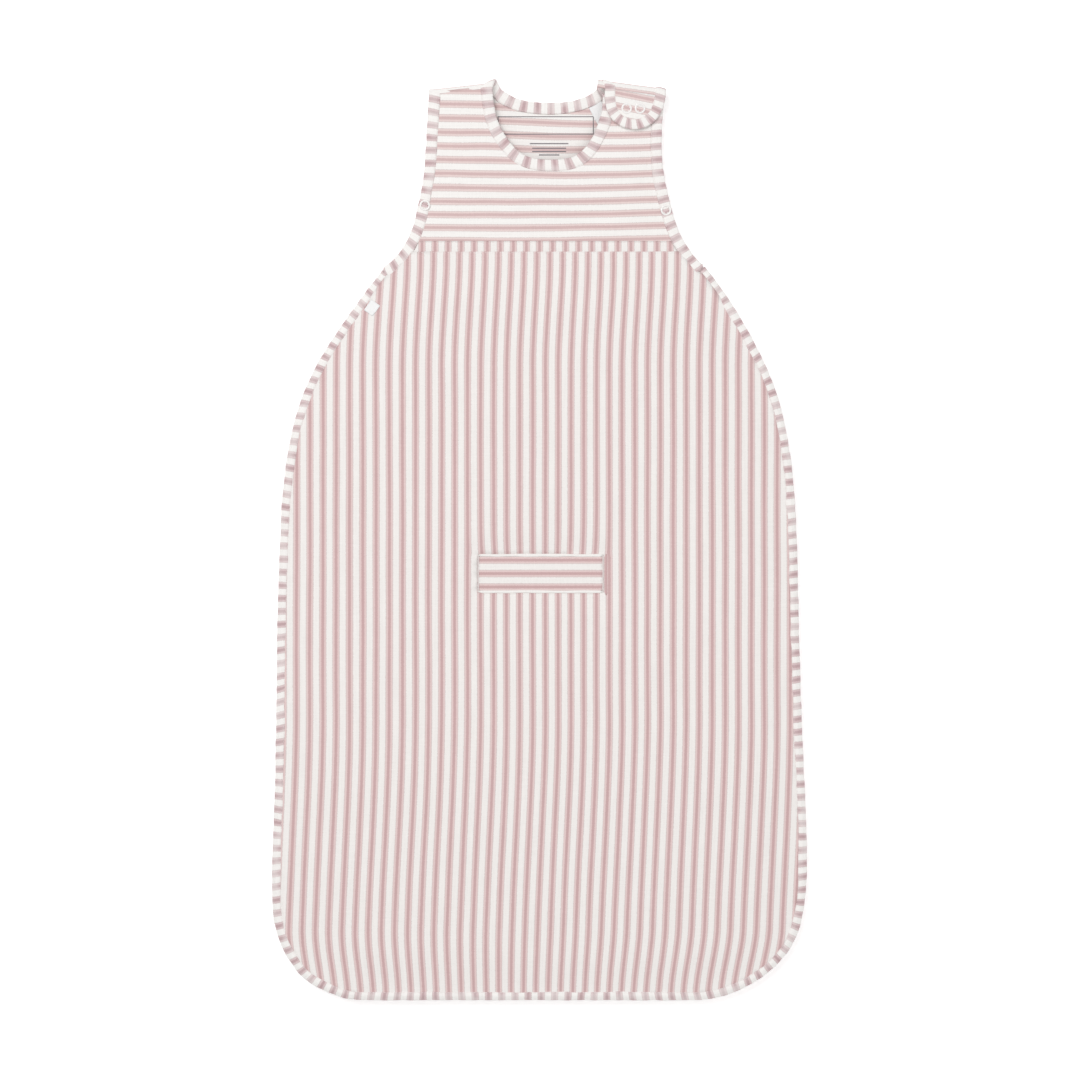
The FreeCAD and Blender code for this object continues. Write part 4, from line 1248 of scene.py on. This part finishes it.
class BAG_OT_back_yoke(bpy.types.Operator):
    """The back yoke: its striped jersey, the facing that shows inside the neck, and the band over its seam"""

    bl_idname = "bag.back_yoke"
    bl_label = "Back yoke"

    def execute(self, context):
        size = sizes()

        def under(x, y):
            return YOKE_BACK_Z + 0.7 * MM * smooth((SEAM_Y + 3 * MM - y) / (2 * MM)) + shoulder_drop(x, y)

        cloth = panel("back_yoke_jersey", back_yoke_cut, under, yoke_uv, 6 * MM, face_up=False)
        thicken(cloth, size.cloth)
        dress(cloth, "yoke", "bag", ("back_yoke_outer",))
        lay_sheet(cloth, back_yoke_cut)

        def top(x, y):
            below_print = smooth((low("neck_print").y - y) / (20 * MM))
            return YOKE_BACK_TOP_Z + 0.3 * MM * waves(x, y, 3.3) * below_print

        facing = panel("back_yoke_facing", back_yoke_cut, top, yoke_uv, size.mesh_step)
        thicken(facing, size.cloth)
        dress(facing, "yoke", "bag", ("back_yoke_lining",))
        lay_sheet(facing, back_yoke_cut)

        band = panel(
            "back_band", band_cut, lambda x, y: band_z(y, YOKE_BACK_Z - 0.05 * MM, -0.9),
            lambda x, y: (x * 0.965, y), 2 * MM, face_up=False,
        )
        thicken(band, size.cloth * 0.8)
        dress(band, "skirt", "bag", ("back_seam_band",))
        lay_sheet(band, band_cut)
        return {"FINISHED"}


class BAG_OT_skirt_bindings(bpy.types.Operator):
    """The bindings round the outer edges of the front and the back"""

    bl_idname = "bag.skirt_bindings"
    bl_label = "Skirt bindings"

    def execute(self, context):
        size = sizes()
        section = wrap_section(EDGE_WIDTH)
        front = strip("skirt_binding_front", front_edge_line, section, size.cloth, 1.0, 0, 0, 0.96)
        dress(front, "binding", "bend", ("front_edge_binding", "front_flap_binding"))
        wrap_sheet(front)
        back = strip("skirt_binding_back", back_edge_line, section, size.cloth, 2.0, 0, 0, 0.96)
        dress(back, "binding", "bag", ("back_edge_binding",))
        wrap_sheet(back)
        return {"FINISHED"}


class BAG_OT_armhole_bindings(bpy.types.Operator):
    """The left armhole's binding, in one piece over its shoulder, and the right armhole's two"""

    bl_idname = "bag.armhole_bindings"
    bl_label = "Armhole bindings"

    def execute(self, context):
        size = sizes()
        section = wrap_section(ARM_WIDTH, 1.8 * MM)
        left = strip("armhole_binding_left", left_arm_line, section, size.cloth, 3.0, 3 * MM, 3 * MM, 0.96)
        dress(left, "binding", "bag", ("left_armhole_binding",))
        wrap_sheet(left)
        front = strip(
            "armhole_binding_right_front", right_front_line, section, size.cloth, 4.0, 3 * MM, 0, 0.96
        )
        dress(front, "binding", "bag", ("right_armhole_binding_front",))
        wrap_sheet(front)
        back = strip("armhole_binding_right_back", right_back_line, section, size.cloth, 5.0, 3 * MM, 0, 0.96)
        dress(back, "binding", "bag", ("right_armhole_binding_back",))
        wrap_sheet(back)
        return {"FINISHED"}


class BAG_OT_neck_binding(bpy.types.Operator):
    """The binding round the neck, over the closed shoulder"""

    bl_idname = "bag.neck_binding"
    bl_label = "Neck binding"

    def execute(self, context):
        size = sizes()
        section = wrap_section(NECK_WIDTH, 1.8 * MM)
        piece = strip("neckline_binding", neck_line, section, size.cloth, 6.0, 0, 0, 0.96)
        dress(piece, "binding", "bag", ("neck_binding",))
        wrap_sheet(piece)
        return {"FINISHED"}


class BAG_OT_shoulders(bpy.types.Operator):
    """The closed left shoulder, and the right strap's fold and tab with their binding"""

    bl_idname = "bag.shoulders"
    bl_label = "Shoulders"

    def execute(self, context):
        size = sizes()
        start, end = left_arm.places[-1], front_neck.places[-1]
        radius = YOKE_TOP_Z - LEFT_TURN_Z
        turn = 2.6 * MM
        closed = rolled("left_shoulder", start, end, LEFT_TURN_Z, LEFT_OUT, radius, turn, size.cloth)
        dress(closed, "yoke", "bag", ("left_shoulder_seam",))

        start, end = strap_start.origin, strap_end.origin
        radius = high("tab_outer").z - RIGHT_TURN_Z
        fold = rolled("strap_fold", start, end, RIGHT_TURN_Z, RIGHT_OUT, radius, 0.0, 1.4 * MM)
        dress(fold, "yoke", "strap", ("shoulder_fold",))

        cut = tab_edge.inset(5 * MM)
        middle = sum(cut, Vector()) / len(cut)

        def tab_z(x, y):
            away = (Vector((x, y, 0)) - middle).length
            return high("tab_outer").z + 0.5 * MM * (1 - smooth(away / (30 * MM)))

        def tab_uv(x, y):
            return (y + 0.2 * (x - middle.x) - 0.379) * 0.965, x

        cloth = panel("tab_jersey", cut, tab_z, tab_uv, 2.5 * MM)
        thicken(cloth, size.cloth)
        dress(cloth, "yoke", "shoulder_tab", ("tab_outer",))
        lay_sheet(cloth, cut)
        facing = panel("tab_facing", cut, lambda x, y: low("tab_lining").z, tab_uv, 3 * MM, face_up=False)
        thicken(facing, size.cloth)
        dress(facing, "yoke", "shoulder_tab", ("tab_lining",))
        lay_sheet(facing, cut)
        section = wrap_section(TAB_WIDTH, 1.8 * MM)
        bound = strip("strap_binding", strap_line, section, size.cloth, 7.0, 0, 0, 0.96)
        dress(bound, "binding", "strap", ("tab_binding",))
        wrap_sheet(bound)
        return {"FINISHED"}


class BAG_OT_side_seams(bpy.types.Operator):
    """The seams that join the front to the back where there is no zip"""

    bl_idname = "bag.side_seams"
    bl_label = "Side seams"

    def execute(self, context):
        size = sizes()
        section = [(9 * MM, 0.0), (4.6 * MM, 0.0), (4.1 * MM, 0.12), (3.4 * MM, 0.5), (4.1 * MM, 0.88)]
        section += [(4.6 * MM, 1.0), (9 * MM, 1.0)]
        levels = (EDGE_BACK[1] - 0.6 * MM, EDGE_FRONT[0] + 0.6 * MM)
        places = level_stations(edge, 0.0, *levels)
        for place, bound in zip(places, front_edge_line):
            place.levels = (levels[0], bound.levels[0] + 0.6 * MM)
        for name, node, part in (
            ("side_seam_right", "right_side_seam", places[ZIP_LAST + 2 : -1]),
            ("underarm_seam_left", "left_underarm_seam", places[1 : ZIP_FIRST - 1]),
        ):
            seam = strip(name, part, section, size.cloth, 8.0)
            dress(seam, "skirt", "bag", (node,))
            wrap_sheet(seam)
        return {"FINISHED"}


class BAG_OT_zip(bpy.types.Operator):
    """The zip: two tapes, two rows of teeth, stops, slider and pull"""

    bl_idname = "bag.zip"
    bl_label = "Zip"

    def execute(self, context):
        size = sizes()
        section = [(15 * MM, 0.03), (11 * MM, 0.05), (7.4 * MM, 0.06), (6.4 * MM, 0.12), (6.0 * MM, 0.3)]
        section += [(5.9 * MM, 0.6), (5.9 * MM, 1.0)]
        tall = 3.6 * MM
        back_low, front_high = low("zip_tape_back").z, high("zip_tape_front").z
        whole = slice(ZIP_FIRST, ZIP_LAST + 1)
        back_line = level_stations(edge, 0.0, back_low, back_low + tall)[whole]
        top = 20 * MM
        front_line = level_stations(edge, top, top - front_high, top - front_high + tall, -1)[whole]
        back = strip("zip_tape_lower", back_line, section, 0.4 * MM, 9.0)
        dress(back, "tape", "bag", ("zip_tape_back",))
        wrap_sheet(back)
        front = strip("zip_tape_upper", front_line, section, 0.4 * MM, 10.0)
        dress(front, "tape", "bend", ("zip_tape_front", "zip_tape_flap"))
        wrap_sheet(front)

        bpy.ops.object.select_all(action="DESELECT")
        bpy.ops.mesh.primitive_cube_add(size=1)
        tooth = context.object
        tooth.scale = (0.95 * MM, 1.7 * MM, 3.1 * MM)
        bpy.ops.object.transform_apply(location=False, rotation=False, scale=True)
        modified(tooth, "BEVEL", width=0.28 * MM, segments=1)
        teeth_edge, cloth_side = edge.inset(4.9 * MM)[whole], edge.inset(20 * MM)[whole]
        line = Run(teeth_edge, cloth_side, edge.places[ZIP_FIRST], size.zip_pitch)
        count = len(line.places) - 1
        rows = (
            ("zip_teeth_lower", 0.0, low("zip_chain_back").z + 1.55 * MM, "bag", ("zip_chain_back",)),
            ("zip_teeth_upper", 0.5, high("zip_chain_front").z - 1.55 * MM, "bend",
             ("zip_chain_front", "zip_chain_flap")),
        )
        for name, offset, level, body, nodes in rows:
            placings = []
            for a, b in zip(line.places[:count], line.places[1:]):
                place = a.lerp(b, offset)
                place.z = level
                placings.append(upright_frame(place, b - a, UP))
            row = stamped(name, tooth, placings)
            dress(row, "teeth", body, nodes)
        discard(tooth)
        for node in ("zip_underarm_stop", "zip_foot_stops"):
            refinish(node, "steel")
        for node in ("zip_slider", "zip_pull"):
            refinish(node, "enamel")
        return {"FINISHED"}


def rounded_window(half_x, half_y, radius, count=5):
    """A round-cornered rectangle about the vent's middle, and the way out from it at each place."""
    places, outward = [], []
    for quarter, (sx, sy) in enumerate(((1, 1), (-1, 1), (-1, -1), (1, -1))):
        for k in range(count + 1):
            angle = math.radians(90 * (quarter + k / count))
            away = Vector((math.cos(angle), math.sin(angle), 0))
            corner = Vector((VENT_X + sx * (half_x - radius), VENT_Y + sy * (half_y - radius), 0))
            places.append(corner + away * radius)
            outward.append(away)
    return places + places[:1], outward + outward[:1]


def satin_row(name, a, b, width, pitch, level, thread_size):
    """A bar of satin stitches that lie side by side from a to b."""
    bpy.ops.object.select_all(action="DESELECT")
    bpy.ops.mesh.primitive_uv_sphere_add(segments=6, ring_count=4, radius=0.5)
    template = bpy.context.object
    template.scale = (width, thread_size, thread_size)
    bpy.ops.object.transform_apply(location=False, rotation=False, scale=True)
    count = round((b - a).length / pitch)
    across = (b - a).normalized().cross(UP)
    placings = []
    for i in range(count + 1):
        place = a.lerp(b, i / count)
        place.z = level
        tilt = Matrix.Rotation(0.12 * (-1) ** i, 3, "Z") @ across
        placings.append(upright_frame(place, tilt, UP))
    obj = stamped(name, template, placings)
    discard(template)
    return obj


class BAG_OT_harness_vent(bpy.types.Operator):
    """The harness vent: its welt, the rolled edges of its window, its facings and its bar tacks"""

    bl_idname = "bag.harness_vent"
    bl_label = "Harness vent"

    def execute(self, context):
        size = sizes()
        half_x = (vent_high.x - vent_low.x) / 2
        half_y = (vent_high.y - vent_low.y) / 2
        cut = [
            Vector((VENT_X + sx * half_x, VENT_Y + sy * half_y, 0))
            for sx, sy in ((-1, -1), (1, -1), (1, 1), (-1, 1))
        ]

        def welt_z(x, y):
            share = abs(y - VENT_Y) / half_y
            crown = 0.45 * MM * (1 - share**4) - 0.25 * MM * smooth((share - 0.9) / 0.1)
            return vent_high.z + crown + 0.15 * MM * noise.noise(Vector((x * 60, y * 60, 4)))

        def welt_uv(x, y):
            return (y - VENT_Y) * 0.94, x

        welt = panel("vent_welt", cut, welt_z, welt_uv, 2.5 * MM)
        thicken(welt, 1.1 * MM)
        dress(welt, "skirt", "vent_flap", ("vent_flap",))
        lay_sheet(welt, cut)

        section = [(4.8 * MM, 0.1), (1.2 * MM, 0.0), (0.25 * MM, 0.12), (0, 0.5), (0.25 * MM, 0.88)]
        section += [(1.2 * MM, 1.0), (4.8 * MM, 0.9)]
        for name, node, height in (
            ("vent_facing_top", "vent_facing_front", VENT_HALF[1] * 2 - 7 * MM),
            ("vent_facing_under", "vent_facing_back", 12 * MM),
        ):
            lowest, highest = low(node).z, high(node).z
            places, away = rounded_window(VENT_HALF[0] - 3.5 * MM, height / 2, 1.5 * MM)
            stations = [Station(p, n, UP, lowest, highest) for p, n in zip(places, away)]
            facing = strip(name, stations, section, 0.5 * MM, 11.0)
            dress(facing, "lining", "bag", (node,))
            wrap_sheet(facing)

        fold_section = [(4.4 * MM, 0.0), (4.0 * MM, 0.6), (3.0 * MM, 0.95), (2.0 * MM, 1.0), (1.0 * MM, 0.9)]
        fold_section += [(0.3 * MM, 0.55), (0, 0.0)]
        fold_x = VENT_X + VENT_HALF[0] + 0.6 * MM
        ends = [Vector((fold_x, WINDOW[1] - 2.5 * MM, 0)), Vector((fold_x, WINDOW[3] + 0.5 * MM, 0))]
        stations = [
            Station(p, Vector((1, 0, 0)), UP, vent_high.z - 0.6 * MM, vent_high.z + 0.85 * MM)
            for p in evenly(ends, 2.5 * MM)
        ]
        fold = strip("vent_end_fold", stations, fold_section, 0.5 * MM, 12.0, 1.5 * MM, 1.5 * MM, 1.0, True)
        dress(fold, "skirt", "bag")

        turns = [math.radians(180 + 30 * k) for k in range(13)]
        circle = [(1.4 * MM * (1 + math.cos(a)), 0.5 + 0.5 * math.sin(a)) for a in turns]
        for name, y in (("vent_roll_upper", WINDOW[3]), ("vent_roll_lower", WINDOW[1])):
            middle = y + (-1.9 * MM if y > VENT_Y else -0.9 * MM)
            ends = [Vector((WINDOW[0] + 0.3 * MM, middle, 0)), Vector((WINDOW[2] - 0.3 * MM, middle, 0))]
            stations = [
                Station(p, Vector((0, 1, 0)), UP, vent_high.z - 1.6 * MM, vent_high.z + 1.1 * MM)
                for p in evenly(ends, 3 * MM)
            ]
            roll = strip(name, stations, circle, 0.4 * MM, y * 100, 1.2 * MM, 1.2 * MM)
            dress(roll, "plain", "bag")

        lift = vent_high.z + 0.35 * MM
        for side, node in ((-1, "left"), (1, "right")):
            x = VENT_X + side * (VENT_HALF[0] - 0.1 * MM)
            a = Vector((x, WINDOW[1] + 0.5 * MM, 0))
            b = Vector((x, WINDOW[3] - 0.5 * MM, 0))
            tack = satin_row("vent_tack_" + node, a, b, 2.2 * MM, 0.5 * MM, lift, 0.5 * MM)
            nodes = ("vent_bartacks",) if side < 0 else ()
            dress(tack, "thread", "bag", nodes)
        return {"FINISHED"}


def stud_places(node, reach=4.8 * MM):
    """The middles of a node's two rings, left and right."""
    lowest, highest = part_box(node)
    left = Vector((lowest.x + reach, highest.y - reach, 0))
    right = Vector((highest.x - reach, lowest.y + reach, 0))
    return left, right


class BAG_OT_studs(bpy.types.Operator):
    """The press studs: enamelled prong rings outside, and the sockets and studs inside"""

    bl_idname = "bag.studs"
    bl_label = "Press studs"

    def execute(self, context):
        for name, node, side, body in (
            ("tab_rings", "tab_snap_rings", 1, "shoulder_tab"),
            ("underarm_rings_front", "underarm_snap_rings_front", 1, "bag"),
            ("underarm_rings_back", "underarm_snap_rings_back", -1, "bag"),
            ("shoulder_rings_inside", "shoulder_snap_stud_rings", -1, "bag"),
        ):
            lowest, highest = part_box(node)
            level = (lowest.z + highest.z) / 2 + side * 0.25 * MM
            bpy.ops.object.select_all(action="DESELECT")
            bpy.ops.mesh.primitive_torus_add(
                major_segments=48, minor_segments=14, major_radius=3.9 * MM, minor_radius=0.85 * MM
            )
            ring = bpy.context.object
            ring.scale = (1, 1, 0.55)
            bpy.ops.object.transform_apply(location=False, rotation=False, scale=True)
            bpy.ops.mesh.primitive_uv_sphere_add(segments=10, ring_count=6, radius=0.5 * MM)
            prong = bpy.context.object
            prong.scale = (1.5, 0.9, 0.6)
            bpy.ops.object.transform_apply(location=False, rotation=False, scale=True)
            placings = []
            for place in stud_places(node):
                for k in range(5):
                    turn = Matrix.Rotation(math.radians(72 * k + 18), 4, "Z")
                    reach = Matrix.Translation((2.9 * MM, 0, -0.1 * MM * side))
                    placings.append(Matrix.Translation((place.x, place.y, level)) @ turn @ reach)
            prongs = stamped(name + "_prongs", prong, placings)
            rings = stamped(
                name, ring, [Matrix.Translation((p.x, p.y, level)) for p in stud_places(node)]
            )
            discard(ring)
            discard(prong)
            dress(rings, "enamel", body, (node,))
            dress(prongs, "enamel", body)
        studs = ("underarm_snap_studs", "shoulder_snap_studs")
        for node in ("underarm_snap_sockets", *studs, "tab_snap_sockets"):
            refinish(node, "enamel")
        return {"FINISHED"}


class BAG_OT_labels(bpy.types.Operator):
    """The folded label in the side seam, the label at the neck, and the plain ruled print under it"""

    bl_idname = "bag.labels"
    bl_label = "Labels and print"

    def execute(self, context):
        for name, node, body, curl in (
            ("side_tag", "side_label", "side_label", 0.25 * MM),
            ("neck_tag", "size_label", "bag", 0.35 * MM),
        ):
            lowest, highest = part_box(node)
            cut = outline_loops(node, highest.z - 0.05 * MM, highest.z + 0.05 * MM)[0]
            middle = sum(cut, Vector()) / len(cut)

            def tag_z(x, y, middle=middle, top=highest.z, curl=curl):
                away = (Vector((x, y, 0)) - Vector((middle.x, middle.y, 0))).length
                lifted = curl * (away / (10 * MM)) ** 2 * 0.4
                return top + curl * noise.noise(Vector((x * 90, y * 90, 1))) + lifted

            tag = panel(name, cut, tag_z, lambda x, y: (x, y), 1.2 * MM)
            thicken(tag, 0.35 * MM)
            dress(tag, "satin", body, (node,))
            lay_sheet(tag, cut)
        refinish("neck_print", "ink")
        return {"FINISHED"}


class BAG_OT_topstitching(bpy.types.Operator):
    """Rows of stitches along the bindings and the bands"""

    bl_idname = "bag.topstitching"
    bl_label = "Topstitching"

    def execute(self, context):
        near = 0.9 * MM
        rows = (
            ("stitches_edge_front", front_edge_line, EDGE_WIDTH - near, 0.97, "bend"),
            ("stitches_edge_back", back_edge_line, EDGE_WIDTH - near, 0.97, "bag"),
            ("stitches_left_arm", left_arm_line, ARM_WIDTH - near, 0.97, "bag"),
            ("stitches_left_arm_inside", left_arm_line, ARM_WIDTH - near, 0.02, "bag"),
            ("stitches_right_arm_front", right_front_line, ARM_WIDTH - near, 0.97, "bag"),
            ("stitches_right_arm_back", right_back_line, ARM_WIDTH - near, 0.97, "bag"),
            ("stitches_neck", neck_line, NECK_WIDTH - near, 0.97, "bag"),
            ("stitches_neck_inside", neck_line, NECK_WIDTH - near, 0.02, "bag"),
            ("stitches_strap", strap_line, TAB_WIDTH - near, 0.97, "strap"),
            ("stitches_strap_inside", strap_line, TAB_WIDTH - near, 0.02, "strap"),
        )
        for name, stations, inset, share, body in rows:
            row = stitch_row(name, row_on(stations, inset, share))
            dress(row, "thread", body)
        left = min(p.x for p in band_cut) + 4 * MM
        right = max(p.x for p in band_cut) - 4 * MM
        for name, y, level in (
            ("stitches_band_foot", SEAM_Y + 1.0 * MM, YOKE_TOP_Z + 0.75 * MM),
            ("stitches_band_head", BAND_TOP_Y - 1.1 * MM, YOKE_TOP_Z + 0.85 * MM),
        ):
            shift = 3 * MM if y > SEAM_Y + 5 * MM else 0
            line = [Vector((left + shift, y, level)), Vector((right - shift, y, level))]
            dress(stitch_row(name, line), "thread", "bag")
        return {"FINISHED"}


def area_light(name, place, aim, width, watts):
    data = bpy.data.lights.new(name, "AREA")
    data.shape = "SQUARE"
    data.size = width
    data.energy = watts
    lamp = bpy.data.objects.new(name, data)
    lamp.location = place
    lamp.rotation_euler = (Vector(aim) - Vector(place)).to_track_quat("-Z", "Y").to_euler()
    bpy.context.scene.collection.objects.link(lamp)
    return lamp


class BAG_OT_stage(bpy.types.Operator):
    """The pale table, soft studio light from above and a camera that looks straight down"""

    bl_idname = "bag.stage"
    bl_label = "Stage"

    def execute(self, context):
        scene = context.scene
        bpy.ops.object.select_all(action="DESELECT")
        bpy.ops.mesh.primitive_plane_add(size=12, location=(0, 0, TABLE_Z - 0.4 * MM))
        table = context.object
        table.name = "table"
        bpy.ops.object.transform_apply(location=True)
        material, tree, inputs = new_material("table", Roughness=0.9, Emission_Strength=0.3)
        inputs["Base Color"].default_value = opaque(colours().floor)
        inputs["Emission Color"].default_value = (1, 1, 1, 1)
        table.data.materials.append(material)

        world = bpy.data.worlds.new("studio")
        world.use_nodes = True
        world.node_tree.nodes["Background"].inputs[0].default_value = (1, 1, 1, 1)
        world.node_tree.nodes["Background"].inputs[1].default_value = 0.5
        scene.world = world
        area_light("soft_key", (-0.9, 1.1, 2.7), (0, 0, 0), 1.5, 41)
        area_light("soft_fill", (1.2, -1.0, 2.8), (0, 0, 0), 2.2, 20.0)
        scene.view_settings.view_transform = "Standard"

        data = bpy.data.cameras.new("camera")
        data.lens = 100
        data.sensor_width = 36
        data.clip_end = 50
        camera = bpy.data.objects.new("camera", data)
        camera.location = (0.44 * MM, 0, 2.655)
        scene.collection.objects.link(camera)
        scene.camera = camera
        return {"FINISHED"}


PIECES = (
    BAG_OT_front_skirt,
    BAG_OT_front_yoke,
    BAG_OT_back_skirt,
    BAG_OT_back_yoke,
    BAG_OT_skirt_bindings,
    BAG_OT_armhole_bindings,
    BAG_OT_neck_binding,
    BAG_OT_shoulders,
    BAG_OT_side_seams,
    BAG_OT_zip,
    BAG_OT_harness_vent,
    BAG_OT_studs,
    BAG_OT_labels,
    BAG_OT_topstitching,
    BAG_OT_stage,
)


class VIEW3D_PT_sleeping_bag(bpy.types.Panel):
    """Lists the bag's pieces, sizes and colours"""

    bl_label = "Sleeping Bag"
    bl_category = "Sleeping Bag"
    bl_space_type = "VIEW_3D"
    bl_region_type = "UI"

    def draw(self, context):
        for settings in (context.scene.bag_sizes, context.scene.bag_colours):
            for name in settings.__annotations__:
                self.layout.prop(settings, name)
        for piece in PIECES:
            self.layout.operator(piece.bl_idname)


CLASSES = (BagSizes, BagColours, *PIECES, VIEW3D_PT_sleeping_bag)


def register():
    for made in CLASSES:
        bpy.utils.register_class(made)
    bpy.types.Scene.bag_sizes = bpy.props.PointerProperty(type=BagSizes)
    bpy.types.Scene.bag_colours = bpy.props.PointerProperty(type=BagColours)


def unregister():
    del bpy.types.Scene.bag_colours
    del bpy.types.Scene.bag_sizes
    for made in reversed(CLASSES):
        bpy.utils.unregister_class(made)


def main():
    register()
    for piece in PIECES:
        getattr(bpy.ops.bag, piece.bl_idname.split(".")[1])()


if __name__ == "__main__":
    main()
